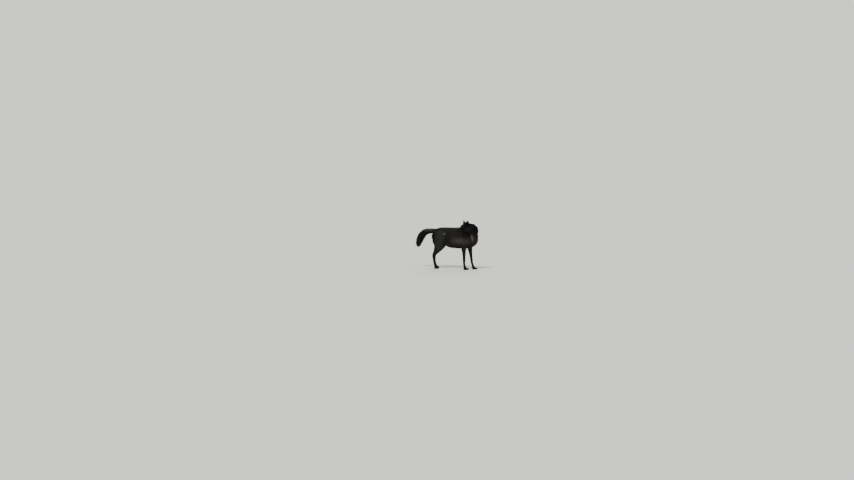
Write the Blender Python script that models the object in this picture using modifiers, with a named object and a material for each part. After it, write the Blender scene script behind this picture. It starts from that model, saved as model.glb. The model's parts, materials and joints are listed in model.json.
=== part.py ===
"""A wolf at life size that stands and looks back over its right shoulder.

Metres, +Z up. The wolf faces +X, its left side is +Y, and its feet stand on z = 0.
The flesh is modelled whole and parted into its nodes by thin cuts.
"""

import math
import random
from dataclasses import dataclass

import bmesh
import bpy
from mathutils import Matrix, Vector
from mathutils.bvhtree import BVHTree

NAME = "wolf"
CLEAR = 0.0003  # gap between two nodes
X_AXIS = Vector((1, 0, 0))
Y_AXIS = Vector((0, 1, 0))
Z_AXIS = Vector((0, 0, 1))

# Stations of the trunk, neck and tail: the middle's x, y, z, then the half width and the reach up and down
TRUNK = (
    (-0.464, 0.0, 0.655, 0.040, 0.042, 0.055),
    (-0.425, 0.0, 0.640, 0.092, 0.104, 0.125),
    (-0.340, 0.0, 0.630, 0.118, 0.136, 0.145),
    (-0.220, 0.0, 0.630, 0.106, 0.147, 0.174),
    (-0.100, 0.0, 0.615, 0.114, 0.163, 0.204),
    (0.020, 0.0, 0.600, 0.124, 0.180, 0.195),
    (0.140, 0.0, 0.595, 0.126, 0.192, 0.190),
    (0.240, 0.0, 0.600, 0.116, 0.184, 0.182),
    (0.320, 0.0, 0.605, 0.100, 0.145, 0.160),
    (0.378, 0.0, 0.610, 0.076, 0.098, 0.115),
    (0.406, 0.0, 0.612, 0.036, 0.045, 0.055),
)
NECK = (
    (0.110, 0.000, 0.640, 0.100, 0.128, 0.150),
    (0.215, 0.000, 0.672, 0.104, 0.114, 0.150),
    (0.296, -0.003, 0.708, 0.098, 0.100, 0.134),
    (0.338, -0.036, 0.750, 0.088, 0.088, 0.106),
    (0.325, -0.088, 0.790, 0.078, 0.076, 0.088),
    (0.284, -0.135, 0.815, 0.067, 0.062, 0.070),
)
TAIL = (
    (-0.420, 0.0, 0.700, 0.042, 0.038, 0.046),
    (-0.503, 0.0, 0.703, 0.030, 0.030, 0.034),
    (-0.590, 0.0, 0.688, 0.031, 0.031, 0.032),
    (-0.660, 0.0, 0.655, 0.031, 0.031, 0.031),
    (-0.712, 0.0, 0.600, 0.029, 0.029, 0.029),
    (-0.744, 0.0, 0.535, 0.024, 0.024, 0.024),
    (-0.766, 0.0, 0.475, 0.018, 0.018, 0.018),
    (-0.780, 0.0, 0.436, 0.008, 0.008, 0.008),
)

# Stations down a leg: the middle's x, its distance from the midline, z, the half breadth, the reach fore and aft
FORELEG = (
    (0.225, 0.058, 0.700, 0.036, 0.060, 0.070),
    (0.262, 0.080, 0.610, 0.044, 0.084, 0.090),
    (0.236, 0.090, 0.510, 0.043, 0.078, 0.088),
    (0.200, 0.092, 0.435, 0.034, 0.048, 0.056),
    (0.200, 0.086, 0.340, 0.027, 0.033, 0.034),
    (0.205, 0.081, 0.240, 0.022, 0.025, 0.025),
    (0.208, 0.078, 0.172, 0.024, 0.025, 0.024),
    (0.212, 0.076, 0.112, 0.020, 0.020, 0.021),
    (0.224, 0.075, 0.062, 0.025, 0.024, 0.022),
    (0.236, 0.075, 0.030, 0.029, 0.028, 0.028),
)
HINDLEG = (
    (-0.350, 0.056, 0.660, 0.050, 0.080, 0.090),
    (-0.345, 0.076, 0.575, 0.056, 0.115, 0.114),
    (-0.325, 0.085, 0.490, 0.050, 0.112, 0.114),
    (-0.340, 0.087, 0.405, 0.039, 0.070, 0.078),
    (-0.392, 0.086, 0.320, 0.028, 0.042, 0.044),
    (-0.440, 0.084, 0.250, 0.022, 0.024, 0.030),
    (-0.442, 0.082, 0.185, 0.019, 0.019, 0.021),
    (-0.432, 0.081, 0.112, 0.018, 0.018, 0.019),
    (-0.418, 0.080, 0.062, 0.022, 0.022, 0.020),
    (-0.404, 0.080, 0.030, 0.026, 0.026, 0.026),
)

# Each leg: its stations, the side of the midline, how far its foot is set forward, the size of its paw
LEGS = {
    "foreleg_right": (FORELEG, -1, -0.040, 1.0),
    "foreleg_left": (FORELEG, 1, 0.080, 1.0),
    "hindleg_right": (HINDLEG, -1, 0.010, 0.88),
    "hindleg_left": (HINDLEG, 1, -0.050, 0.88),
}
STEP_FROM = 0.70  # height above which a leg doesn't follow its foot

# A paw at its full size: the pad behind the toes, then each toe's place across and along and its length
PAD_HIGH = 0.020
PAD_RADII = (0.034, 0.037, 0.021)
TOES = ((-0.031, 0.020, 0.028), (-0.012, 0.039, 0.031), (0.012, 0.039, 0.031), (0.031, 0.020, 0.028))
TOE_HIGH, TOE_BREADTH, TOE_RISE = 0.0155, 0.0140, 0.0185
TOE_SPREAD = 6.0  # radians that a toe turns out for each metre from the paw's middle
CLAW_LONG, CLAW_THICK, CLAW_DROP = 0.018, 0.0042, 0.010
CLAW_BACK, CLAW_UP = 0.010, 0.003  # the claw's root from the tip of its toe

# The head in its own frame: x forward from the back of the skull, y to its left, z up from its axis
HEAD_LENGTH = 0.270
HEAD_YAW = math.radians(-123)
HEAD_PITCH = math.radians(10)
NOSE_AT = Vector((0.128, -0.361, 0.776))
SKULL = (
    (-0.020, 0.0, -0.008, 0.052, 0.044, 0.052),
    (0.020, 0.0, -0.010, 0.066, 0.064, 0.060),
    (0.060, 0.0, -0.008, 0.072, 0.066, 0.062),
    (0.095, 0.0, -0.006, 0.069, 0.066, 0.054),
    (0.122, 0.0, -0.008, 0.060, 0.058, 0.044),
    (0.146, 0.0, -0.010, 0.047, 0.045, 0.040),
    (0.175, 0.0, -0.012, 0.039, 0.038, 0.036),
    (0.215, 0.0, -0.013, 0.036, 0.035, 0.031),
    (0.245, 0.0, -0.012, 0.032, 0.031, 0.025),
    (0.264, 0.0, -0.008, 0.021, 0.022, 0.017),
)
JAW = (
    (0.050, 0.0, -0.046, 0.044, 0.020, 0.024),
    (0.120, 0.0, -0.049, 0.038, 0.020, 0.018),
    (0.180, 0.0, -0.047, 0.031, 0.018, 0.015),
    (0.225, 0.0, -0.043, 0.025, 0.016, 0.012),
    (0.250, 0.0, -0.038, 0.015, 0.011, 0.009),
)
# Soft swellings of the left side of the head, each with its middle and radii
CHEEK = ((0.068, 0.044, -0.022), (0.046, 0.030, 0.042))
BROW = ((0.105, 0.027, 0.034), (0.036, 0.021, 0.018))
CHEEKBONE = ((0.095, 0.046, 0.000), (0.050, 0.020, 0.020))

EYE_SEEN_FROM = (0.100, 0.012, 0.024)  # a point in the skull behind an eye, on its line of sight
EYE_LOOKS = (0.72, 0.66, 0.06)
EYE_RADIUS = 0.0130
EYE_STANDS_OUT = 0.001
EYE_SLANT = math.radians(26)
LID_LONG = 0.0124
LID_TALL = 0.0080
LID_THICK = 0.0026
LID_POINTS = 12

NOSE_PAD = ((0.2540, 0.0, 0.0060), (0.0150, 0.0165, 0.0125))
NOSTRIL = ((0.2665, 0.0080, 0.0060), (0.0060, 0.0038, 0.0042))

MOUTH_FROM, MOUTH_TO = 0.150, 0.252  # x of the mouth's corner and of the last point on its side
MOUTH_TIP = 0.268
MOUTH_LOW, MOUTH_RISE = -0.0360, 0.0100
MOUTH_HIGH, MOUTH_DEEP = 0.0014, 0.0060
LIP_ABOVE, LIP_BELOW = 0.0048, -0.0048
LIP_THICK = 0.0034

EAR_ROOT = (0.046, 0.043, 0.031)
EAR_LEANS = (-0.16, 0.34, 1.0)
EAR_OPENS = (0.95, 0.31, 0.0)
EAR_TALL = 0.101
EAR_WIDE = 0.037
EAR_THICK = 0.0045
# Up the ear: the share of its height, that of its width, and the angle that its sheet wraps to each side
EAR_SHEET = (
    (0.00, 0.62, 112),
    (0.18, 0.86, 104),
    (0.38, 1.00, 88),
    (0.58, 0.92, 72),
    (0.76, 0.74, 62),
    (0.90, 0.48, 54),
    (1.00, 0.16, 45),
)

# Where the flesh is parted, along its paths
ATLAS_AT = 0.014  # x in the head's frame
MID_NECK = 3.1
SHOULDER_AT, SHOULDER_FACES = (0.290, 0.0, 0.675), (0.66, 0.0, 0.75)
CHEST_ENDS, LOINS_END = 0.075, -0.150
TAIL_CUTS = (0.72, 2.45, 4.1)
ANKLE, CARPUS, ELBOW, HOCK, STIFLE = 0.056, 0.185, 0.420, 0.262, 0.400
FORELEG_INSIDE, HINDLEG_INSIDE = 0.044, 0.030
CLEAR_OF_MIDDLE = 0.012  # how far the lower lengths' regions stay from the midline
THIGH_OUTLINE = (
    (-0.56, -0.05), (-0.165, -0.05), (-0.165, 0.480), (-0.250, 0.545), (-0.400, 0.600), (-0.56, 0.600)
)

# The finishes, with the nodes that take each: a node's name starts with one of these words
FINISHES = (
    ("eye_amber", (0.42, 0.22, 0.05), 0.15, ("eye",)),
    ("nose_leather", (0.012, 0.011, 0.011), 0.35, ("nose",)),
    ("coat_grey", (0.085, 0.080, 0.078), 0.90, ("torso", "foreleg", "hindleg")),
    ("coat_black", (0.022, 0.020, 0.020), 0.90, ("head", "ear", "neck", "tail")),
)
SHARP_FROM = math.radians(50)

# Fineness
SECTION_SIDES = 20
BODY_GRAIN = 0.006
FINE_GRAIN = 0.003
BODY_TRIANGLES = 2400
HEAD_TRIANGLES = 1500
PAW_TRIANGLES = 260
FIRST_SEED = 10  # of the random draws of the locks


def clear_scene():
    for item in list(bpy.data.objects):
        bpy.data.objects.remove(item, do_unlink=True)


def collection(name):
    made = bpy.data.collections.new(name)
    bpy.context.scene.collection.children.link(made)
    return made


def material(name, color, roughness, metallic=0.0):
    made = bpy.data.materials.new(name)
    made.use_nodes = True
    shader = made.node_tree.nodes["Principled BSDF"]
    shader.inputs["Base Color"].default_value = (*color, 1.0)
    shader.inputs["Roughness"].default_value = roughness
    shader.inputs["Metallic"].default_value = metallic
    return made


def object_of(bm, name, home):
    """Turns a bmesh into an object of the collection, its faces facing out."""
    bmesh.ops.recalc_face_normals(bm, faces=bm.faces)
    mesh = bpy.data.meshes.new(name)
    bm.to_mesh(mesh)
    bm.free()
    made = bpy.data.objects.new(name, mesh)
    home.objects.link(made)
    return made


def apply_modifiers(item):
    """Replaces the object's mesh by what its modifiers make of it."""
    graph = bpy.context.evaluated_depsgraph_get()
    old = item.data
    item.data = bpy.data.meshes.new_from_object(item.evaluated_get(graph))
    item.modifiers.clear()
    bpy.data.meshes.remove(old)


def copy_of(item, name, home=None):
    made = bpy.data.objects.new(name, item.data.copy())
    (home or item.users_collection[0]).objects.link(made)
    return made


def remove(*items):
    for item in items:
        mesh = item.data
        bpy.data.objects.remove(item, do_unlink=True)
        bpy.data.meshes.remove(mesh)


def through(stations, steps):
    """The stations with steps more of them between each two, on a smooth curve through all."""
    made = []
    last = len(stations) - 1
    for i in range(last):
        before = stations[max(i - 1, 0)]
        here, there = stations[i], stations[i + 1]
        after = stations[min(i + 2, last)]
        for k in range(steps):
            t = k / steps
            made.append(tuple(
                0.5 * (2 * b + (c - a) * t + (2 * a - 5 * b + 4 * c - d) * t ** 2
                       + (3 * b - a - 3 * c + d) * t ** 3)
                for a, b, c, d in zip(before, here, there, after)
            ))
    made.append(stations[last])
    return made


def section_frame(stations, i, side=None):
    """The middle, side and up directions of station i's section."""
    ahead = Vector(stations[min(i + 1, len(stations) - 1)][:3])
    behind = Vector(stations[max(i - 1, 0)][:3])
    along = (ahead - behind).normalized()
    across = side if side else Z_AXIS.cross(along).normalized()
    up = along.cross(across).normalized()
    return Vector(stations[i][:3]), across, up


def loft(stations, side=None, sides=SECTION_SIDES):
    """A closed bmesh through egg-shaped sections, one for each station."""
    bm = bmesh.new()
    rings = []
    for i, (_, _, _, wide, high, low) in enumerate(stations):
        middle, across, up = section_frame(stations, i, side)
        ring = []
        for k in range(sides):
            angle = 2 * math.pi * k / sides
            reach = high if math.sin(angle) > 0 else low
            ring.append(bm.verts.new(
                middle + across * (wide * math.cos(angle)) + up * (reach * math.sin(angle))
            ))
        rings.append(ring)
    for one, two in zip(rings, rings[1:]):
        for k in range(sides):
            n = (k + 1) % sides
            bm.faces.new((one[k], one[n], two[n], two[k]))
    bm.faces.new(rings[0])
    bm.faces.new(rings[-1])
    return bm


def ball(middle, radii, turned=None, rings=10):
    """A closed bmesh ellipsoid."""
    bm = bmesh.new()
    bmesh.ops.create_uvsphere(bm, u_segments=2 * rings, v_segments=rings, radius=1.0)
    place = Matrix.Translation(middle) @ (turned or Matrix()) @ Matrix.Diagonal((*radii, 1.0))
    bmesh.ops.transform(bm, matrix=place, verts=bm.verts)
    return bm


def joined(parts, name, home, place=None):
    """One object that holds all the bmeshes, moved by the matrix place."""
    whole = bmesh.new()
    for part in parts:
        mesh = bpy.data.meshes.new("part")
        part.to_mesh(mesh)
        part.free()
        whole.from_mesh(mesh)
        bpy.data.meshes.remove(mesh)
    if place:
        bmesh.ops.transform(whole, matrix=place, verts=whole.verts)
    return object_of(whole, name, home)


def melt(item, grain, rounds, triangles):
    """Fuses the object's overlapping shapes into one soft surface of about so many triangles."""
    fuse = item.modifiers.new("fuse", "REMESH")
    fuse.mode = "VOXEL"
    fuse.voxel_size = grain
    soften = item.modifiers.new("soften", "SMOOTH")
    soften.factor = 0.5
    soften.iterations = rounds
    apply_modifiers(item)
    thin = item.modifiers.new("thin", "DECIMATE")
    thin.ratio = triangles / (2 * len(item.data.polygons))
    thin.use_collapse_triangulate = True
    apply_modifiers(item)
    keep_largest(item)


def keep_largest(item):
    """Leaves only the object's largest closed surface."""
    bm = bmesh.new()
    bm.from_mesh(item.data)
    left = set(bm.verts)
    groups = []
    while left:
        edge_of_group = [left.pop()]
        group = set(edge_of_group)
        while edge_of_group:
            vert = edge_of_group.pop()
            for edge in vert.link_edges:
                other = edge.other_vert(vert)
                if other in left:
                    left.discard(other)
                    group.add(other)
                    edge_of_group.append(other)
        groups.append(group)
    groups.sort(key=len, reverse=True)
    loose = [vert for group in groups[1:] for vert in group]
    bmesh.ops.delete(bm, geom=loose, context="VERTS")
    bm.to_mesh(item.data)
    bm.free()


def combine(item, operation, other):
    """Applies a Boolean with an object or, where other is a collection, with all in it.

    The solver is MANIFOLD, as EXACT loses whole nodes of these melted surfaces.
    """
    cut = item.modifiers.new("combine", "BOOLEAN")
    cut.operation = operation
    cut.solver = "MANIFOLD"
    if isinstance(other, bpy.types.Collection):
        cut.operand_type = "COLLECTION"
        cut.collection = other
    else:
        cut.object = other
    apply_modifiers(item)


def grown(item, by):
    """A copy of a closed object whose surface stands out by the distance."""
    made = copy_of(item, item.name + "_grown")
    bm = bmesh.new()
    bm.from_mesh(made.data)
    bm.normal_update()
    for vert, normal in [(vert, vert.normal.copy()) for vert in bm.verts]:
        vert.co += normal * by
    bm.to_mesh(made.data)
    bm.free()
    return made


class Region:
    """A prism on a flat outline, and the same prism grown by the gap between nodes."""

    def __init__(self, name, home, outline, middle, across, up, depth):
        bm = bmesh.new()
        face = bm.faces.new([bm.verts.new(middle + across * a + up * b) for a, b in outline])
        pushed = bmesh.ops.extrude_face_region(bm, geom=[face])["geom"]
        corners = [item for item in pushed if isinstance(item, bmesh.types.BMVert)]
        bmesh.ops.translate(bm, verts=corners, vec=depth)
        self.inner = object_of(bm, name, home)
        self.outer = grown(self.inner, CLEAR * math.sqrt(3))
        for item in (self.inner, self.outer):
            item.hide_render = True
            item.display_type = "WIRE"


def beyond(name, home, origin, normal, reach, half):
    """The region on the far side of a plane, reach deep and half wide on each side."""
    normal = normal.normalized()
    across = (Y_AXIS if abs(normal.y) < 0.7 else X_AXIS).cross(normal).normalized()
    up = normal.cross(across)
    square = [(-half, -half), (half, -half), (half, half), (-half, half)]
    return Region(name, home, square, origin, across, up, normal * reach)


def head_pose():
    turn = Matrix.Rotation(HEAD_YAW, 4, "Z") @ Matrix.Rotation(HEAD_PITCH, 4, "Y")
    forward = turn.to_3x3() @ X_AXIS
    return Matrix.Translation(NOSE_AT - forward * HEAD_LENGTH) @ turn


def sided(point, side):
    """A point or direction of the head, mirrored for side -1."""
    return Vector((point[0], side * point[1], point[2]))


def leg_stations(leg):
    """The leg's stations with its foot set forward by its step."""
    stations, side, step, _ = LEGS[leg]
    made = []
    for x, y, z, breadth, fore, aft in stations:
        share = max(0.0, 1 - z / STEP_FROM)
        made.append((x + step * share, side * y, z, breadth, fore, aft))
    return made


def toes(leg):
    """The pads and toes of a paw as closed bmeshes, with each claw's root and direction."""
    size = LEGS[leg][3]
    x, y = leg_stations(leg)[-1][:2]
    long, broad, tall = PAD_RADII
    parts = [ball(Vector((x, y, PAD_HIGH)), (long * size, broad * size, tall))]
    claws = []
    for across, along, long in TOES:
        spread = Matrix.Rotation(across * TOE_SPREAD, 4, "Z")
        middle = Vector((x + along * size, y + across * size, TOE_HIGH))
        parts.append(ball(middle, (long * size, TOE_BREADTH * size, TOE_RISE), spread))
        ahead = spread.to_3x3() @ X_AXIS
        claws.append((middle + ahead * (long - CLAW_BACK) * size + Z_AXIS * CLAW_UP, ahead))
    return parts, claws


def claw(root, ahead):
    """A claw that curves forward and down from its root."""
    stations = []
    for t, share in ((0.0, 1.0), (0.5, 0.85), (1.0, 0.15)):
        at = root + ahead * (CLAW_LONG * t) - Z_AXIS * (CLAW_DROP * t * t)
        thick = CLAW_THICK * share
        stations.append((*at, thick * 0.8, thick, thick))
    return loft(stations, sides=4)


def skull_parts():
    """The head's flesh in its own frame."""
    parts = [loft(through(SKULL, 3)), loft(through(JAW, 3))]
    for side in (-1, 1):
        for middle, radii in (CHEEK, BROW, CHEEKBONE):
            parts.append(ball(sided(middle, side), radii))
    return parts


def build_flesh(home):
    """The whole animal as one soft surface, and more finely its head and each foot."""
    pose = head_pose()
    body = [loft(through(TRUNK, 3)), loft(through(NECK, 4)), loft(through(TAIL, 4))]
    for leg in LEGS:
        body.append(loft(through(leg_stations(leg), 3), side=Y_AXIS))
    for part in skull_parts():
        bmesh.ops.transform(part, matrix=pose, verts=part.verts)
        body.append(part)
    whole = joined(body, "body_flesh", home)
    melt(whole, BODY_GRAIN, 6, BODY_TRIANGLES)

    upper_neck = loft(through(NECK, 4)[10:])
    bmesh.ops.transform(upper_neck, matrix=pose.inverted(), verts=upper_neck.verts)
    face = joined(skull_parts() + [upper_neck], "head_flesh", home, pose)
    melt(face, FINE_GRAIN, 4, HEAD_TRIANGLES)

    feet = {}
    for leg in LEGS:
        parts, _ = toes(leg)
        parts.append(loft(through(leg_stations(leg)[5:], 3), side=Y_AXIS))
        feet[leg] = joined(parts, leg + "_foot", home)
        melt(feet[leg], FINE_GRAIN, 2, PAW_TRIANGLES)
    return whole, face, feet


def on_path(stations, place):
    """The section's middle, side and up directions at a place counted in stations."""
    fine = through(stations, 10)
    i = min(round(place * 10), len(fine) - 1)
    return section_frame(fine, i)


def leg_regions(leg, home):
    """The regions of a leg's lengths from the trunk down, each from its top to below the floor."""
    side = LEGS[leg][1]
    x = leg_stations(leg)[-1][0]

    def prism(name, outline, nearest):
        origin = Vector((0, side * nearest, 0))
        return Region(f"{leg}_{name}_space", home, outline, origin, X_AXIS, Z_AXIS, Y_AXIS * side * 0.2)

    def slab(name, top, nearest):
        half, low = 0.15, -0.05
        return prism(name, [(x - half, low), (x + half, low), (x + half, top), (x - half, top)], nearest)

    if leg.startswith("fore"):
        return {
            "forearm": slab("forearm", ELBOW, FORELEG_INSIDE),
            "pastern": slab("pastern", CARPUS, CLEAR_OF_MIDDLE),
            "paw": slab("paw", ANKLE, CLEAR_OF_MIDDLE),
        }
    return {
        "thigh": prism("thigh", THIGH_OUTLINE, HINDLEG_INSIDE),
        "shank": slab("shank", STIFLE, CLEAR_OF_MIDDLE),
        "hock": slab("hock", HOCK, CLEAR_OF_MIDDLE),
        "paw": slab("paw", ANKLE, CLEAR_OF_MIDDLE),
    }


def carve(flesh, name, home, inside=(), outside=()):
    """A copy of the flesh within all the regions inside and clear of all those outside."""
    node = copy_of(flesh, name, home)
    trim(node, inside, outside)
    return node


def trim(node, inside, outside):
    for region in inside:
        combine(node, "INTERSECT", region.inner)
    for region in outside:
        combine(node, "DIFFERENCE", region.outer)
    keep_largest(node)


def surface_of(item):
    bm = bmesh.new()
    bm.from_mesh(item.data)
    tree = BVHTree.FromBMesh(bm)
    bm.free()
    return tree


def posed(bm, name, home, pose):
    bmesh.ops.transform(bm, matrix=pose, verts=bm.verts)
    return object_of(bm, name, home)


def chain(points, outward, across, sides, closed):
    """A closed bmesh along the points, with a section of the radii outward and across."""
    bm = bmesh.new()
    rings = []
    count = len(points)
    for i, point in enumerate(points):
        after = points[(i + 1) % count if closed else min(i + 1, count - 1)]
        before = points[i - 1 if closed else max(i - 1, 0)]
        along = (after - before).normalized()
        out = (outward[i] - along * outward[i].dot(along)).normalized()
        side = along.cross(out)
        ring = []
        for k in range(sides):
            angle = 2 * math.pi * k / sides
            offset = out * (across[0] * math.cos(angle)) + side * (across[1] * math.sin(angle))
            ring.append(bm.verts.new(point + offset))
        rings.append(ring)
    pairs = list(zip(rings, rings[1:]))
    if closed:
        pairs.append((rings[-1], rings[0]))
    else:
        bm.faces.new(rings[0])
        bm.faces.new(rings[-1])
    for one, two in pairs:
        for k in range(sides):
            n = (k + 1) % sides
            bm.faces.new((one[k], one[n], two[n], two[k]))
    return bm


def eye_middle(skin, side):
    """The middle of an eyeball that stands just out of the skin on its line of sight."""
    start = sided(EYE_SEEN_FROM, side)
    looks = sided(EYE_LOOKS, side).normalized()
    hit = skin.ray_cast(start, looks)[0]
    return hit - looks * (EYE_RADIUS - EYE_STANDS_OUT)


def lids(middle, side):
    """The rim of both lids: a closed ring on the eyeball round its opening."""
    looks = sided(EYE_LOOKS, side).normalized()
    outer = Z_AXIS.cross(looks).normalized() * side
    up = looks.cross(outer) * side
    long = outer * math.cos(EYE_SLANT) + up * math.sin(EYE_SLANT)
    tall = up * math.cos(EYE_SLANT) - outer * math.sin(EYE_SLANT)
    points = []
    for k in range(LID_POINTS):
        angle = 2 * math.pi * k / LID_POINTS
        offset = long * (LID_LONG * math.cos(angle)) + tall * (LID_TALL * math.sin(angle))
        depth = math.sqrt((EYE_RADIUS + 0.0012) ** 2 - offset.length_squared)
        points.append(middle + offset + looks * depth)
    outward = [point - middle for point in points]
    return chain(points, outward, (LID_THICK, LID_THICK), 4, closed=True)


def mouth_line(skin, above):
    """Points on the skin from one corner of the mouth round the muzzle to the other, with their normals."""
    places = []
    steps = 6
    for k in range(steps + 1):
        share = k / steps
        x = MOUTH_FROM + (MOUTH_TO - MOUTH_FROM) * share
        places.append((x, MOUTH_LOW + MOUTH_RISE * share ** 1.3 + above))
    points, normals = [], []
    for x, z in places:
        hit, normal, _, _ = skin.ray_cast(Vector((x, 0.1, z)), -Y_AXIS)
        points.append(hit)
        normals.append(Vector((normal.x, normal.y, 0)).normalized())
    hit, _, _, _ = skin.ray_cast(Vector((MOUTH_TIP + 0.1, 0, places[-1][1])), -X_AXIS)
    mirror = Matrix.Diagonal((1, -1, 1))
    points = points + [hit] + [mirror @ p for p in reversed(points)]
    normals = normals + [X_AXIS.copy()] + [mirror @ n for n in reversed(normals)]
    return points, normals


def ear_sheet(side):
    """The open cupped sheet of an ear in the head's frame."""
    up = sided(EAR_LEANS, side).normalized()
    opens = sided(EAR_OPENS, side)
    opens = (opens - up * opens.dot(up)).normalized()
    across = up.cross(opens)
    root = sided(EAR_ROOT, side)
    bm = bmesh.new()
    rows = []
    columns = 6
    for height, width, wrap in EAR_SHEET:
        half = math.radians(wrap)
        radius = EAR_WIDE * width / math.sin(min(half, math.pi / 2))
        middle = root + up * (EAR_TALL * height) + opens * (radius * math.cos(half) * 0.5)
        row = []
        for k in range(columns + 1):
            angle = half * (2 * k / columns - 1)
            offset = across * (radius * math.sin(angle)) - opens * (radius * math.cos(angle))
            row.append(bm.verts.new(middle + offset))
        rows.append(row)
    for one, two in zip(rows, rows[1:]):
        for k in range(columns):
            bm.faces.new((one[k], one[k + 1], two[k + 1], two[k]))
    return bm


def build_ears(head, home, pose):
    """Both ears as cupped shells that end just above the head."""
    seat = grown(head, CLEAR)
    ears = []
    for side, name in ((1, "ear_left"), (-1, "ear_right")):
        ear = posed(ear_sheet(side), name, home, pose)
        shell = ear.modifiers.new("shell", "SOLIDIFY")
        shell.thickness = EAR_THICK
        shell.offset = 0.0
        apply_modifiers(ear)
        combine(ear, "DIFFERENCE", seat)
        keep_largest(ear)
        ears.append(ear)
    remove(seat)
    return ears


def build_face(head, home, pose):
    """Works the lids, lips, sockets, mouth and nose into the head, and makes the eyes and the nose."""
    skin_object = copy_of(head, "skin")
    skin_object.data.transform(pose.inverted())
    skin = surface_of(skin_object)
    remove(skin_object)
    added = collection("added")
    taken = collection("taken")
    made = []
    for side, name in ((1, "eye_left"), (-1, "eye_right")):
        middle = eye_middle(skin, side)
        posed(lids(middle, side), "lids", added, pose)
        radii = [EYE_RADIUS + CLEAR] * 3
        posed(ball(middle, radii, rings=6), "socket", taken, pose)
        made.append(posed(ball(middle, [EYE_RADIUS] * 3, rings=6), name, home, pose))
    for above in (LIP_ABOVE, LIP_BELOW):
        points, normals = mouth_line(skin, above)
        posed(chain(points, normals, (LIP_THICK * 0.8, LIP_THICK), 4, closed=False), "lip", added, pose)
    points, normals = mouth_line(skin, 0)
    points = [point + normal * 0.001 for point, normal in zip(points, normals)]
    posed(chain(points, normals, (MOUTH_DEEP, MOUTH_HIGH), 4, closed=False), "mouth", taken, pose)
    nose = posed(ball(Vector(NOSE_PAD[0]), NOSE_PAD[1], rings=6), "nose", home, pose)
    seat = grown(nose, CLEAR)
    combine(head, "UNION", added)
    combine(head, "DIFFERENCE", taken)
    combine(head, "DIFFERENCE", seat)
    keep_largest(head)
    nostrils = collection("nostrils")
    for side in (1, -1):
        turned = Matrix.Rotation(side * 0.5, 4, "Z")
        posed(ball(sided(NOSTRIL[0], side), NOSTRIL[1], turned, rings=4), "nostril", nostrils, pose)
    combine(nose, "DIFFERENCE", nostrils)
    keep_largest(nose)
    remove(seat)
    for group in (added, taken, nostrils):
        empty(group)
    return made + [nose]


def empty(group):
    """Removes a collection with its objects."""
    remove(*list(group.objects))
    bpy.data.collections.remove(group)


def build_paw(flesh, leg, region, home):
    """A paw with its claws, its pads cut level on the floor."""
    paw = carve(flesh, leg + "_paw", home, inside=[region])
    claws = collection("claws")
    for root, ahead in toes(leg)[1]:
        object_of(claw(root, ahead), "claw", claws)
    combine(paw, "UNION", claws)
    empty(claws)
    bm = bmesh.new()
    below = Matrix.Translation((0, 0, -0.5)) @ Matrix.Diagonal((2, 2, 1, 1))
    bmesh.ops.create_cube(bm, size=1.0, matrix=below)
    floor = object_of(bm, "floor", home)
    combine(paw, "DIFFERENCE", floor)
    remove(floor)
    keep_largest(paw)
    return paw


@dataclass
class Zone:
    """Where a node's locks grow: rows along a path of sections, and places round each section."""

    path: tuple
    start: float  # counted in the path's stations
    end: float
    rows: int
    first: float  # degrees round the section: 0 is the path's left side, 90 its top
    last: float
    count: int
    long: float
    wide: float
    flow: float  # 1 where the coat lies toward the path's end, -1 toward its start
    fall: float = 0.0  # how much it hangs
    spread: float = 0.0  # how much it stands out
    lift: float = 0.012
    pose: Matrix = None
    side: Vector = None


LOCK_THICK = 0.0075
LOCK_SINK = 0.012
LOCK_BEND = 0.35  # radians that a lock may turn to either side on its way
# Along a lock: the share of its length, then of its width and of its thickness
LOCK_STEPS = ((0.0, 0.80, 1.00), (0.38, 1.00, 1.00), (0.72, 0.66, 0.75), (1.0, 0.12, 0.25))


def lock(skin, root, normal, lie, zone, rng):
    """A flat tapered lock that leaves the skin at its root and lies along it to its tip."""
    long = zone.long * rng.uniform(0.85, 1.15)
    wide = zone.wide * rng.uniform(0.85, 1.15)
    bend = rng.uniform(-LOCK_BEND, LOCK_BEND)
    at, out = root, normal
    walked = 0.0
    points, outs = [], []
    for share, _, _ in LOCK_STEPS:
        lie = Matrix.Rotation(bend * (share - walked), 3, out) @ lie
        lie = (lie - out * lie.dot(out)).normalized()
        guess = at + lie * (long * (share - walked))
        near, near_out, _, _ = skin.find_nearest(guess)
        reach = zone.lift * share ** 0.7 + zone.spread * long * share ** 2
        at, out, walked = near, (out + near_out).normalized(), share
        free = guess + out * reach if (near - guess).length > 0.5 * long else near + out * reach
        points.append(free - out * (LOCK_SINK if share == 0 else 0))
        outs.append(out)
    bm = bmesh.new()
    rings = []
    last = len(points) - 1
    for i, (point, out, (_, width, thick)) in enumerate(zip(points, outs, LOCK_STEPS)):
        along = (points[min(i + 1, last)] - points[max(i - 1, 0)]).normalized()
        side = along.cross(out).normalized()
        up = side.cross(along)
        half, high = wide * width / 2, LOCK_THICK * thick
        rings.append([bm.verts.new(point + offset) for offset in (side * half, up * high, -side * half)])
    for one, two in zip(rings, rings[1:]):
        for k in range(3):
            n = (k + 1) % 3
            bm.faces.new((one[k], one[n], two[n], two[k]))
    bm.faces.new(rings[0])
    bm.faces.new(rings[-1])
    return bm


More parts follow.
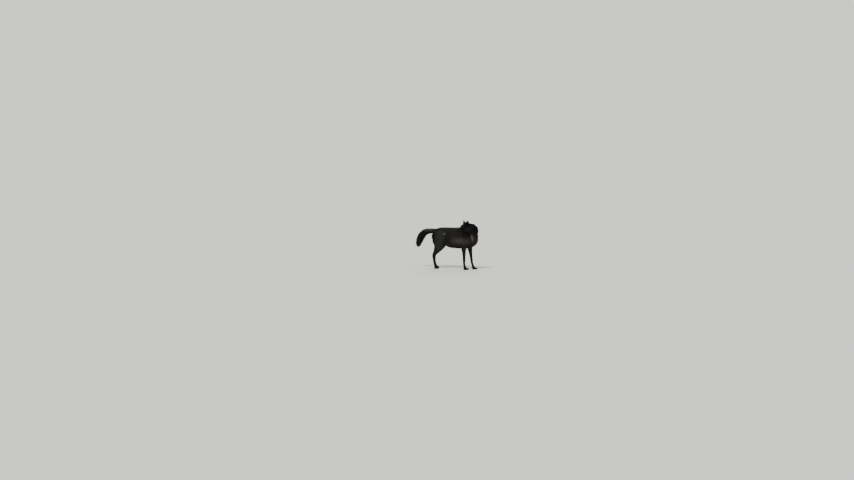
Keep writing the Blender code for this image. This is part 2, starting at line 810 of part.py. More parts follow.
def grow_locks(node, zones, seed):
    """Fuses the zones' locks with the node."""
    rng = random.Random(seed)
    skin = surface_of(node)
    group = collection("locks")
    for zone in zones:
        fine = through(zone.path, 10)
        for row in range(zone.rows):
            place = zone.start + (zone.end - zone.start) * (row + 0.5) / zone.rows
            middle, across, up = section_frame(fine, min(round(place * 10), len(fine) - 1), zone.side)
            along = across.cross(up)
            if zone.pose:
                turn = zone.pose.to_3x3()
                middle, across, up, along = zone.pose @ middle, turn @ across, turn @ up, turn @ along
            for k in range(zone.count):
                share = (k + 0.25 + 0.5 * (row % 2) + rng.uniform(-0.12, 0.12)) / zone.count
                angle = math.radians(zone.first + (zone.last - zone.first) * share)
                outward = across * math.cos(angle) + up * math.sin(angle)
                hit, normal, _, _ = skin.ray_cast(middle, outward)
                if hit is None or normal.dot(outward) < 0.2:
                    continue
                lie = along * zone.flow - Z_AXIS * zone.fall
                lie = (lie - normal * lie.dot(normal)).normalized()
                object_of(lock(skin, hit, normal, lie, zone, rng), "lock", group)
    combine(node, "UNION", group)
    empty(group)
    keep_largest(node)


def body_regions(home, pose):
    """The regions that part the head, neck, chest, rump and each length of the tail."""
    atlas = pose @ Vector((ATLAS_AT, 0, 0))
    _, across, up = on_path(NECK, len(NECK) - 1)
    regions = {"head": beyond("head_side", home, atlas, across.cross(up), 0.34, 0.17)}
    middle, across, up = on_path(NECK, MID_NECK)
    regions["upper_neck"] = beyond("upper_neck", home, middle, across.cross(up), 0.20, 0.16)
    regions["neck"] = beyond("all_neck", home, Vector(SHOULDER_AT), Vector(SHOULDER_FACES), 0.40, 0.24)
    regions["chest"] = beyond("chest", home, Vector((CHEST_ENDS, 0, 0.6)), X_AXIS, 0.5, 0.4)
    regions["rump"] = beyond("rump", home, Vector((LOINS_END, 0, 0.6)), -X_AXIS, 0.5, 0.4)
    for n, place in enumerate(TAIL_CUTS):
        middle, across, up = on_path(TAIL, place)
        regions[f"tail_{n}"] = beyond("tail_space", home, middle, across.cross(up), 0.40, 0.095)
    return regions


def division(regions, legs):
    """For each node of the body, the regions that it lies in and those that it is clear of."""
    head, upper_neck, neck = regions["head"], regions["upper_neck"], regions["neck"]
    chest, rump = regions["chest"], regions["rump"]
    base, middle, end = [regions[f"tail_{n}"] for n in range(len(TAIL_CUTS))]
    uppers = [next(iter(lengths.values())) for lengths in legs.values()]
    plan = {
        "head": ([head], []),
        "neck_upper": ([upper_neck, neck], [head]),
        "neck_lower": ([neck], [head, upper_neck]),
        "torso_front": ([chest], [neck, head] + uppers),
        "torso_middle": ([], [chest, rump] + uppers),
        "torso_rear": ([rump], [base] + uppers),
        "tail_base": ([base], [middle]),
        "tail_middle": ([middle], [end]),
        "tail_end": ([end], []),
    }
    for leg, lengths in legs.items():
        names = list(lengths)
        for name, below in zip(names, names[1:]):
            plan[f"{leg}_{name}"] = ([lengths[name]], [lengths[below]])
    return plan


def finish(nodes):
    """Gives each node its material and smooth shading."""
    for name, color, roughness, starts in FINISHES:
        made = material(name, color, roughness)
        for node in nodes:
            if node.name.startswith(starts):
                node.data.materials.clear()
                node.data.materials.append(made)
                node.data.shade_smooth()
                node.data.set_sharp_from_angle(angle=SHARP_FROM)


def settle(nodes):
    """Moves all so that the origin is the middle of their bounding box's base, and returns the move."""
    corners = [vert.co for node in nodes for vert in node.data.vertices]
    low = Vector([min(corner[i] for corner in corners) for i in range(3)])
    high = Vector([max(corner[i] for corner in corners) for i in range(3)])
    move = Vector((-(low.x + high.x) / 2, -(low.y + high.y) / 2, -low.z))
    for node in nodes:
        node.data.transform(Matrix.Translation(move))
    return move


def main():
    clear_scene()
    home = collection(NAME)
    cutters = collection("cutters")
    pose = head_pose()
    whole, face, feet = build_flesh(cutters)
    legs = {leg: leg_regions(leg, cutters) for leg in LEGS}
    plan = division(body_regions(cutters, pose), legs)
    coat = coat_zones(pose)
    for seed, (name, (inside, outside)) in enumerate(plan.items(), FIRST_SEED):
        node = carve(face if name == "head" else whole, name, home, inside, outside)
        if name == "head":
            build_ears(node, home, pose)
            build_face(node, home, pose)
        if name in coat:
            grow_locks(node, coat[name], seed)
            trim(node, inside, outside)
    for leg, lengths in legs.items():
        build_paw(feet[leg], leg, lengths["paw"], home)
    remove(*list(cutters.objects))
    bpy.data.collections.remove(cutters)
    finish(list(home.objects))
    return settle(list(home.objects))


def coat_zones(pose):
    """The zones of each node that carries long coat."""
    mane = {"path": NECK, "flow": -1.0, "fall": 0.45, "long": 0.110, "wide": 0.062, "first": -40, "last": 260}
    tail = {"path": TAIL, "flow": 1.0, "fall": 0.10, "first": 0, "last": 360, "wide": 0.046}
    cheek = {"path": SKULL, "flow": -1.0, "fall": 0.5, "start": 0.8, "end": 2.4, "rows": 2, "count": 3,
             "wide": 0.038, "lift": 0.007, "pose": pose}
    return {
        "head": [
            Zone(**cheek, first=-66, last=16, long=0.066, spread=0.12),
            Zone(**cheek, first=164, last=246, long=0.055, spread=0.05),
        ],
        "neck_upper": [Zone(**mane, start=3.2, end=4.8, rows=2, count=6)],
        "neck_lower": [Zone(**mane, start=1.6, end=3.2, rows=3, count=7)],
        "torso_front": [
            Zone(path=TRUNK, start=6.1, end=8.2, rows=3, first=30, last=150, count=5, long=0.115, wide=0.060,
                 flow=-1.0, fall=0.15),
            Zone(path=TRUNK, start=8.3, end=9.6, rows=2, first=180, last=360, count=5, long=0.085, wide=0.052,
                 flow=-0.5, fall=0.9),
        ],
        "torso_rear": [
            Zone(path=TRUNK, start=0.3, end=1.3, rows=2, first=-30, last=210, count=4, long=0.080, wide=0.056,
                 flow=-1.0, fall=0.6),
        ],
        "tail_base": [Zone(**tail, start=0.8, end=2.4, rows=2, count=4, long=0.090, spread=0.10)],
        "tail_middle": [Zone(**tail, start=2.4, end=4.1, rows=2, count=5, long=0.100, spread=0.22)],
        "tail_end": [Zone(**tail, start=4.1, end=6.5, rows=3, count=4, long=0.100, spread=0.20)],
        "hindleg_right_thigh": [breeches("hindleg_right")],
        "hindleg_left_thigh": [breeches("hindleg_left")],
    }


def breeches(leg):
    """The longer coat down the back of a thigh."""
    return Zone(path=leg_stations(leg), start=0.9, end=2.9, rows=3, first=235, last=305, count=2, long=0.080,
                wide=0.044, flow=1.0, fall=0.3, spread=0.08, lift=0.010, side=Y_AXIS)


if __name__ == "__main__":
    main()
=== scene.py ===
"""A black wolf at life size, standing and looking back over its right shoulder.

The skin is rebuilt from the same named stations as the solids, a little inside them, and the coat grows on it
as thin overlapping tufts of solid mesh. Shapes are made in the modelling axes, where the trunk lies over the
origin, and moved once into the frame's own axes when a piece is finished.
"""

from __future__ import annotations

import json
import logging
import math
from collections.abc import Iterable, Sequence
from dataclasses import dataclass
from enum import Enum

import bmesh
import bpy
import numpy as np
from bmesh.types import BMesh, BMFace, BMVert
from bpy.types import ID, Material, Mesh, Modifier, Node, NodeSocket, NodeTree, Object, bpy_prop_collection
from mathutils import Matrix, Vector
from mathutils.bvhtree import BVHTree
from numpy import ndarray

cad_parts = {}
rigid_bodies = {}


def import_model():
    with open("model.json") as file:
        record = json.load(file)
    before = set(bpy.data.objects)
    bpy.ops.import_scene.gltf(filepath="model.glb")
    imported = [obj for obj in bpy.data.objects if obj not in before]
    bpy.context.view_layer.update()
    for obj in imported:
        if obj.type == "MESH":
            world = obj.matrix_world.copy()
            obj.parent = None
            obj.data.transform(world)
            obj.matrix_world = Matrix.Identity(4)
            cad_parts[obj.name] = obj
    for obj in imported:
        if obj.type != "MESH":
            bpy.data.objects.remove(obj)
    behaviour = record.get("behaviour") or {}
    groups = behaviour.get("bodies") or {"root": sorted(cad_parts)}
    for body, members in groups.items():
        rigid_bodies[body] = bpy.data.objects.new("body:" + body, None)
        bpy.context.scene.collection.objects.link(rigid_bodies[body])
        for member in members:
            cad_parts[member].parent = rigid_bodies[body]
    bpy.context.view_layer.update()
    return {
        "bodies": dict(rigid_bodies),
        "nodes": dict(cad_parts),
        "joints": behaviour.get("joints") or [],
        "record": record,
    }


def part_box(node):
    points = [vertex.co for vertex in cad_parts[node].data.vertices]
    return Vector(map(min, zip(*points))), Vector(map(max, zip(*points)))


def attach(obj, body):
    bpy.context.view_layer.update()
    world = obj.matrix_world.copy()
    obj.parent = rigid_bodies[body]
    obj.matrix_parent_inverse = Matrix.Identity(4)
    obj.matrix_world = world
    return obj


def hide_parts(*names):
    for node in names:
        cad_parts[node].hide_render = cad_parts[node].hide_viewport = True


log = logging.getLogger("wolf")

Station = tuple[float, ...]
Triple = tuple[float, float, float]
Rgb = Triple
Pair = tuple[float, float]
Plane = tuple[Vector, Vector]  # a point of it and its direction

X_AXIS = Vector((1.0, 0.0, 0.0))
Y_AXIS = Vector((0.0, 1.0, 0.0))
Z_AXIS = Vector((0.0, 0.0, 1.0))

# From the modelling axes to the frame's: the middle of the model's base there
ORIGIN = Vector((0.185529, 0.114634, 0.0))
BODY = "root"
BAKE_MAP = "OFBake"


def metres(*rows: Sequence[float]) -> tuple[Station, ...]:
    """Rows of millimetres, in metres."""
    return tuple(tuple(value / 1000 for value in row) for row in rows)


# Stations in millimetres: the middle's x, y, z, then the half width and the reach up and down
TRUNK = metres(
    (-464, 0, 655, 40, 42, 55),
    (-425, 0, 640, 92, 104, 125),
    (-340, 0, 630, 118, 136, 145),
    (-220, 0, 630, 106, 147, 174),
    (-100, 0, 615, 114, 163, 204),
    (20, 0, 600, 124, 180, 195),
    (140, 0, 595, 126, 192, 190),
    (240, 0, 600, 116, 184, 182),
    (320, 0, 605, 100, 145, 160),
    (378, 0, 610, 76, 98, 115),
    (406, 0, 612, 36, 45, 55),
)
NECK = metres(
    (110, 0, 640, 100, 128, 150),
    (215, 0, 672, 104, 114, 150),
    (296, -3, 708, 98, 100, 134),
    (338, -36, 750, 88, 88, 106),
    (325, -88, 790, 78, 76, 88),
    (284, -135, 815, 67, 62, 70),
)
TAIL = metres(
    (-420, 0, 700, 42, 38, 46),
    (-503, 0, 703, 30, 30, 34),
    (-590, 0, 688, 31, 31, 32),
    (-660, 0, 655, 31, 31, 31),
    (-712, 0, 600, 29, 29, 29),
    (-744, 0, 535, 24, 24, 24),
    (-766, 0, 475, 18, 18, 18),
    (-780, 0, 436, 8, 8, 8),
)

# Down a leg: the middle's x, its distance from the midline and z, the half breadth, the reach fore and aft
FORELEG = metres(
    (225, 58, 700, 36, 60, 70),
    (262, 80, 610, 44, 84, 90),
    (236, 90, 510, 43, 78, 88),
    (200, 92, 435, 34, 48, 56),
    (200, 86, 340, 27, 33, 34),
    (205, 81, 240, 22, 25, 25),
    (208, 78, 172, 24, 25, 24),
    (212, 76, 112, 20, 20, 21),
    (224, 75, 62, 25, 24, 22),
    (236, 75, 30, 29, 28, 28),
)
HINDLEG = metres(
    (-350, 56, 660, 50, 80, 90),
    (-345, 76, 575, 56, 115, 114),
    (-325, 85, 490, 50, 112, 114),
    (-340, 87, 405, 39, 70, 78),
    (-392, 86, 320, 28, 42, 44),
    (-440, 84, 250, 22, 24, 30),
    (-442, 82, 185, 19, 19, 21),
    (-432, 81, 112, 18, 18, 19),
    (-418, 80, 62, 22, 22, 20),
    (-404, 80, 30, 26, 26, 26),
)
STEP_FROM = 0.7  # the height below which a leg leans toward its foot's step
ANKLE = 0.056  # the height at which the finer skin of a foot meets that of its leg

# The head in its own frame: x forward from the back of the skull, y to its left, z up from its axis
SKULL = metres(
    (-20, 0, -8, 52, 44, 52),
    (20, 0, -10, 66, 64, 60),
    (60, 0, -8, 72, 66, 62),
    (95, 0, -6, 69, 66, 54),
    (122, 0, -8, 60, 58, 44),
    (146, 0, -10, 47, 45, 40),
    (175, 0, -12, 39, 38, 36),
    (215, 0, -13, 36, 35, 31),
    (245, 0, -12, 32, 31, 25),
    (264, 0, -8, 21, 22, 17),
)
JAW = metres(
    (50, 0, -46, 44, 20, 24),
    (120, 0, -49, 38, 20, 18),
    (180, 0, -47, 31, 18, 15),
    (225, 0, -43, 25, 16, 12),
    (250, 0, -38, 15, 11, 9),
)
CHEEK = ((0.068, 0.044, -0.022), (0.046, 0.03, 0.042))
BROW = ((0.105, 0.027, 0.034), (0.036, 0.021, 0.018))
CHEEKBONE = ((0.095, 0.046, 0.0), (0.05, 0.02, 0.02))


class Side(Enum):
    """The animal's two sides, with the sign of y on each."""

    LEFT = 1
    RIGHT = -1

    @property
    def word(self) -> str:
        """The side's name in a node's name."""
        return self.name.lower()


class Patch(Enum):
    """The lengths of the coat, each made as one piece."""

    FACE = "coat_face"
    CHEEKS = "coat_cheeks"
    NECK = "coat_neck"
    SHOULDERS = "coat_shoulders"
    BARREL = "coat_barrel"
    RUMP = "coat_rump"
    FORELEG_RIGHT = "coat_foreleg_right"
    FORELEG_LEFT = "coat_foreleg_left"
    HINDLEG_RIGHT = "coat_hindleg_right"
    HINDLEG_LEFT = "coat_hindleg_left"
    TAIL = "coat_tail"
    EARS = "coat_ears"


PATCHES = list(Patch)


@dataclass(frozen=True)
class Limb:
    """One leg: its stations, its side, how far its foot is set forward and the size of its paw."""

    name: str
    stations: tuple[Station, ...]
    side: Side
    step: float
    size: float

    def placed(self) -> list[Station]:
        """The leg's stations with its foot set forward by its step.

        Returns:
            The stations.
        """
        made = []
        for x, y, z, breadth, fore, aft in self.stations:
            share = max(0.0, 1 - z / STEP_FROM)
            made.append((x + self.step * share, self.side.value * y, z, breadth, fore, aft))
        return made


LIMBS = (
    Limb("foreleg_right", FORELEG, Side.RIGHT, -0.04, 1.0),
    Limb("foreleg_left", FORELEG, Side.LEFT, 0.08, 1.0),
    Limb("hindleg_right", HINDLEG, Side.RIGHT, 0.01, 0.88),
    Limb("hindleg_left", HINDLEG, Side.LEFT, -0.05, 0.88),
)


# Shapes


def through(stations: Sequence[Station], steps: int) -> list[Station]:
    """A smooth curve through stations.

    Args:
        stations: The stations, each a tuple of numbers.
        steps: How many places to make from one station to the next.

    Returns:
        The places, all stations among them.
    """
    made: list[Station] = []
    last = len(stations) - 1
    for i in range(last):
        before = stations[max(i - 1, 0)]
        here, there = stations[i], stations[i + 1]
        after = stations[min(i + 2, last)]
        for k in range(steps):
            t = k / steps
            made.append(tuple(
                0.5 * (2 * b + (c - a) * t + (2 * a - 5 * b + 4 * c - d) * t ** 2
                       + (3 * b - a - 3 * c + d) * t ** 3)
                for a, b, c, d in zip(before, here, there, after)
            ))
    made.append(tuple(stations[last]))
    return made


def section_frame(stations: Sequence[Station], i: int, side: Vector | None = None) -> tuple[Vector, ...]:
    """The frame of a section.

    Args:
        stations: The path's stations.
        i: The number of the station.
        side: The direction across the section, or None to take the level one.

    Returns:
        The section's middle and its directions across, up and along.
    """
    ahead = Vector(stations[min(i + 1, len(stations) - 1)][:3])
    behind = Vector(stations[max(i - 1, 0)][:3])
    along = (ahead - behind).normalized()
    across = side.copy() if side else Z_AXIS.cross(along).normalized()
    up = along.cross(across).normalized()
    return Vector(stations[i][:3]), across, up, along


def bridge(bm: BMesh, rows: Sequence[Sequence[BMVert]], around: bool = True) -> None:
    """Joins rows of vertices with faces, each row to the next.

    Args:
        bm: The bmesh that holds them.
        rows: The rows, all of one length.
        around: Whether each row runs back into its start.
    """
    for one, two in zip(rows, rows[1:]):
        for k in range(len(one) if around else len(one) - 1):
            n = (k + 1) % len(one)
            bm.faces.new((one[k], one[n], two[n], two[k]))


def tube(sections: Sequence[tuple[Vector, Vector, Vector, Sequence[float]]], sides: int) -> BMesh:
    """A closed form through egg-shaped sections.

    Args:
        sections: The middle of each, its directions across and up, and its half width and reach up and down.
        sides: The number of corners of a section.

    Returns:
        The form as a bmesh.
    """
    bm = bmesh.new()
    rings = []
    for middle, across, up, (wide, high, low) in sections:
        ring = []
        for k in range(sides):
            angle = 2 * math.pi * k / sides
            reach = high if math.sin(angle) > 0 else low
            offset = across * (wide * math.cos(angle)) + up * (reach * math.sin(angle))
            ring.append(bm.verts.new(middle + offset))
        rings.append(ring)
    bridge(bm, rings)
    bm.faces.new(rings[0])
    bm.faces.new(rings[-1])
    return bm


def loft(stations: Sequence[Station], side: Vector | None = None, sides: int = 28) -> BMesh:
    """A closed form through stations, with one direction across all its sections or the level ones."""
    frames = [section_frame(stations, i, side)[:3] for i in range(len(stations))]
    return tube([(*frame, station[3:6]) for frame, station in zip(frames, stations)], sides)


def moved(bm: BMesh, matrix: Matrix) -> BMesh:
    """The form, moved by a matrix."""
    bmesh.ops.transform(bm, matrix=matrix, verts=bm.verts)
    return bm


def face_number(face: BMFace) -> int:
    """A number that only this face has, from the numbers of its corners."""
    low, middle, *_, high = sorted(vert.index for vert in face.verts)
    return (low * 10 ** 5 + middle) * 10 ** 5 + high


def ball(middle: Sequence[float], radii: Sequence[float], turned: Matrix | None = None,
         rings: int = 16) -> BMesh:
    """A closed ellipsoid.

    Args:
        middle: Its middle.
        radii: Its three radii.
        turned: How it is turned, or None.
        rings: The number of its rings, half that of its segments.

    Returns:
        The ellipsoid as a bmesh.
    """
    bm = bmesh.new()
    bmesh.ops.create_uvsphere(bm, u_segments=2 * rings, v_segments=rings, radius=1.0)
    bm.verts.index_update()
    bm.faces.sort(key=face_number)  # their own order differs from run to run
    place = Matrix.Translation(Vector(middle)) @ (turned or Matrix()) @ Matrix.Diagonal((*radii, 1.0))
    return moved(bm, place)


def sided(point: Sequence[float], side: Side) -> Vector:
    """A point or direction of the head's left half, mirrored for the right."""
    return Vector((point[0], side.value * point[1], point[2]))


def thinned(stations: Sequence[Station], depths: Sequence[float],
            narrow: Sequence[float] | None = None) -> list[Station]:
    """The stations with a depth of coat taken off each section.

    Args:
        stations: The sections as the coat's surface has them.
        depths: The depth at each.
        narrow: How much further in its sides lie, or None.

    Returns:
        The sections of the skin.
    """
    made = []
    for (x, y, z, *reaches), depth, less in zip(stations, depths, narrow or [0.0] * len(stations)):
        wide, high, low = (max(reach - depth, reach * 0.4) for reach in reaches)
        made.append((x, y, z, wide - less, high, low))
    return made


def linked(name: str, data: ID) -> Object:
    """A new object in the scene.

    Args:
        name: Its name.
        data: The mesh, camera or lamp that it holds.

    Returns:
        The object.
    """
    made = bpy.data.objects.new(name, data)
    bpy.context.scene.collection.objects.link(made)
    return made


def object_of(bm: BMesh, name: str) -> Object:
    """Makes a smooth object of a form, with its faces facing out.

    Args:
        bm: The form, which is freed.
        name: The object's name.

    Returns:
        The object.
    """
    bmesh.ops.recalc_face_normals(bm, faces=bm.faces)
    mesh = bpy.data.meshes.new(name)
    bm.to_mesh(mesh)
    bm.free()
    mesh.shade_smooth()
    return linked(name, mesh)


def joined(parts: Iterable[BMesh], name: str, place: Matrix | None = None) -> Object:
    """One object that holds several forms.

    Args:
        parts: The forms, which are freed.
        name: The object's name.
        place: A matrix that moves them all, or None.

    Returns:
        The object.
    """
    whole = bmesh.new()
    for part in parts:
        mesh = bpy.data.meshes.new("part")
        part.to_mesh(mesh)
        part.free()
        whole.from_mesh(mesh)
        bpy.data.meshes.remove(mesh)
    if place:
        moved(whole, place)
    return object_of(whole, name)


def remove(*items: Object) -> None:
    """Removes objects with their meshes.

    Args:
        items: The objects.
    """
    for item in items:
        mesh = item.data
        bpy.data.objects.remove(item, do_unlink=True)
        bpy.data.meshes.remove(mesh)


def modify(item: Object, kind: str, **settings: object) -> Modifier:
    """Adds a modifier.

    Args:
        item: The object.
        kind: The modifier's type.
        settings: Its settings by name.

    Returns:
        The modifier.
    """
    made = item.modifiers.new(kind.lower(), kind)
    for name, value in settings.items():
        setattr(made, name, value)
    return made


def apply_modifiers(item: Object) -> None:
    """Replaces the object's mesh by what its modifiers make of it, smooth.

    Args:
        item: The object.
    """
    graph = bpy.context.evaluated_depsgraph_get()
    old = item.data
    item.data = bpy.data.meshes.new_from_object(item.evaluated_get(graph))
    item.modifiers.clear()
    bpy.data.meshes.remove(old)
    item.data.shade_smooth()


def melt(item: Object, grain: float, rounds: int) -> None:
    """Fuses the object's overlapping forms into one soft surface.

    Args:
        item: The object.
        grain: The size of its voxels.
        rounds: How often the surface is smoothed.
    """
    modify(item, "REMESH", mode="VOXEL", voxel_size=grain)
    modify(item, "SMOOTH", factor=0.5, iterations=rounds)
    apply_modifiers(item)


def cut_away(item: Object, other: Object) -> None:
    """Cuts what lies in another object, which stays, off this one."""
    modify(item, "BOOLEAN", operation="DIFFERENCE", solver="MANIFOLD", object=other)
    apply_modifiers(item)


def block(middle: Vector, axes: Sequence[Vector], halves: Sequence[float]) -> Object:
    """A box for cutting with.

    Args:
        middle: Its middle.
        axes: Its three directions.
        halves: Half its size along each.

    Returns:
        The box.
    """
    bm = bmesh.new()
    bmesh.ops.create_cube(bm, size=2.0)
    turn = Matrix([axis * half for axis, half in zip(axes, halves)]).transposed().to_4x4()
    return object_of(moved(bm, Matrix.Translation(middle) @ turn), "cutter")


def surface_of(item: Object) -> BVHTree:
    """A tree for finding points on a surface.

    Args:
        item: The object with the surface.

    Returns:
        The tree.
    """
    bm = bmesh.new()
    bm.from_mesh(item.data)
    tree = BVHTree.FromBMesh(bm)
    bm.free()
    return tree


def values_of(items: bpy_prop_collection, name: str, width: int, kind: type = np.float32) -> ndarray:
    """One property of all items of a mesh.

    Args:
        items: The mesh's vertices, corners or triangles.
        name: The property.
        width: How many numbers each item has.
        kind: The type that Blender keeps them in.

    Returns:
        The numbers, one row to an item.
    """
    made = np.empty(len(items) * width, kind)
    items.foreach_get(name, made)
    return made.reshape(-1, width)


def number_points(mesh: Mesh, name: str, values: ndarray) -> None:
    """Gives each of the mesh's points a number that a finish can read."""
    attribute = mesh.attributes.new(name, "FLOAT", "POINT")
    attribute.data.foreach_set("value", values.astype(np.float32))


def unwrap(item: Object) -> None:
    """Lays the object's own surface out flat in its bake map.

    Args:
        item: The object.
    """
    item.data.uv_layers.new(name=BAKE_MAP)
    bpy.context.view_layer.objects.active = item
    bpy.ops.object.select_all(action="DESELECT")
    item.select_set(True)
    bpy.ops.object.mode_set(mode="EDIT")
    bpy.ops.mesh.select_all(action="SELECT")
    bpy.ops.uv.smart_project(angle_limit=math.radians(66), island_margin=0.001)
    bpy.ops.object.mode_set(mode="OBJECT")
    item.select_set(False)


def hand_over(item: Object, slot: str, finish: Material, *nodes: str) -> None:
    """Moves a finished piece into the frame's axes, dresses it and lets it ride.

    Args:
        item: The piece, in the modelling axes.
        slot: The record's material slot; not used.
        finish: Its material.
        nodes: The CAD nodes that it stands for.
    """
    item.data.transform(Matrix.Translation(ORIGIN))
    item.data.materials.clear()
    item.data.materials.append(finish)
    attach(item, BODY)
    if nodes:
        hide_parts(*nodes)
    item.data.calc_loop_triangles()
    log.info("%s: %d triangles", item.name, len(item.data.loop_triangles))


# Finishes


class Graph:
    """A node tree, with a short way to add each node."""

    def __init__(self, tree: NodeTree) -> None:
        """Takes the tree."""
        self.tree = tree

    def link(self, value: object, socket: NodeSocket) -> None:
        """Gives a socket its value.

        Args:
            value: An output to link, or a number, vector, colour, word or material to set.
            socket: The socket.
        """
        if isinstance(value, NodeSocket):
            self.tree.links.new(value, socket)
        else:
            socket.default_value = value

    def add(self, kind: str, inputs: Sequence | dict = (), **settings: object) -> Node:
        """Adds a node.

        Args:
            kind: Its type.
            inputs: A value or output for each of its inputs, in their order or by name or number.
            settings: Its settings by name.

        Returns:
            The node.
        """
        node = self.tree.nodes.new(kind)
        for name, value in settings.items():
            setattr(node, name, value)
        for key, value in inputs.items() if isinstance(inputs, dict) else enumerate(inputs):
            self.link(value, node.inputs[key])
        return node

    def math(self, operation: str, *values: object) -> NodeSocket:
        """The output of a Math node on the values."""
        return self.add("ShaderNodeMath", values, operation=operation).outputs[0]

    def split(self, place: NodeSocket) -> bpy_prop_collection:
        """The x, y and z of a place."""
        return self.add("ShaderNodeSeparateXYZ", (place,)).outputs


class Nodes(Graph):
    """A material's node tree, with the place on the animal in the modelling axes."""

    def __init__(self, name: str) -> None:
        """Makes the material with its shader.

        Args:
            name: The material's name.
        """
        self.material = bpy.data.materials.new(name)
        self.material.use_nodes = True
        super().__init__(self.material.node_tree)
        self.shader = self.tree.nodes["Principled BSDF"]
        spot = self.add("ShaderNodeTexCoord").outputs["Object"]
        self.place = self.add("ShaderNodeMapping", {"Vector": spot, "Location": -ORIGIN}).outputs["Vector"]

    def vector(self, operation: str, *values: object) -> NodeSocket:
        """The vector that a Vector Math node makes of the values."""
        return self.add("ShaderNodeVectorMath", values, operation=operation).outputs[0]

    def measure(self, operation: str, *values: object) -> NodeSocket:
        """The number that a Vector Math node makes of the values."""
        return self.add("ShaderNodeVectorMath", values, operation=operation).outputs["Value"]

    def scaled(self, vector: object, share: object) -> NodeSocket:
        """A vector or colour times a number."""
        return self.add("ShaderNodeVectorMath", {0: vector, "Scale": share}, operation="SCALE").outputs[0]

    def steps(self, value: object, low: float, high: float, first: float = 0.0,
              last: float = 1.0) -> NodeSocket:
        """The value eased from first to last as it goes from low to high."""
        inputs = (value, low, high, first, last)
        return self.add("ShaderNodeMapRange", inputs, interpolation_type="SMOOTHSTEP").outputs[0]

    def mix(self, share: object, one: object, two: object) -> NodeSocket:
        """Two colours mixed."""
        one, two = ((*color, 1.0) if isinstance(color, tuple) else color for color in (one, two))
        return self.add("ShaderNodeMix", {0: share, 6: one, 7: two}, data_type="RGBA").outputs[2]

    def noise(self, scale: float, detail: float, stretch: Rgb | None = None) -> NodeSocket:
        """A noise pattern over the animal.

        Args:
            scale: How fine it is.
            detail: How many finer patterns lie over it.
            stretch: How much finer it is along each axis, or None.

        Returns:
            Its height, between 0 and 1.
        """
        place = self.vector("MULTIPLY", self.place, stretch) if stretch else self.place
        inputs = {"Vector": place, "Scale": scale, "Detail": detail, "Roughness": 0.55}
        return self.add("ShaderNodeTexNoise", inputs).outputs[0]

    def seen_from(self, pose: Matrix) -> NodeSocket:
        """The place on the animal in the frame that a pose puts there.

        Args:
            pose: The matrix from that frame to the modelling axes.

        Returns:
            The place.
        """
        inverse = pose.inverted()
        inputs = {"Vector": self.place, "Location": inverse.to_translation(),
                  "Rotation": inverse.to_euler("XYZ")}
        return self.add("ShaderNodeMapping", inputs).outputs["Vector"]

    def mirrored(self, place: NodeSocket) -> NodeSocket:
        """A place with its y always positive."""
        x, y, z = self.split(place)
        return self.add("ShaderNodeCombineXYZ", (x, self.math("ABSOLUTE", y), z)).outputs[0]

    def attribute(self, name: str) -> NodeSocket:
        """A number that the mesh carries."""
        return self.add("ShaderNodeAttribute", attribute_name=name).outputs["Fac"]

    def bump(self, height: object, strength: float, distance: float) -> None:
        """Gives the shader a bump from a height."""
        node = self.add("ShaderNodeBump", {"Strength": strength, "Distance": distance, "Height": height})
        self.link(node.outputs[0], self.shader.inputs["Normal"])

    def set(self, **values: object) -> None:
        """Sets or links the shader's sockets, named with _ for each space."""
        for name, value in values.items():
            self.link(value, self.shader.inputs[name.replace("_", " ").title().replace("Ior", "IOR")])


@dataclass(frozen=True)
class Mark:
    """A soft-edged patch of colour in the coat: an ellipsoid in the modelling axes."""

    at: Triple
    radii: Triple
    color: Rgb
    strength: float = 1.0
    soft: float = 0.35
    both: bool = False  # whether the other side has it too
    ragged: float = 0.02  # how far noise shifts its edge
    speckle: float = 0.5  # how far tufts of the two colours mix at its edge


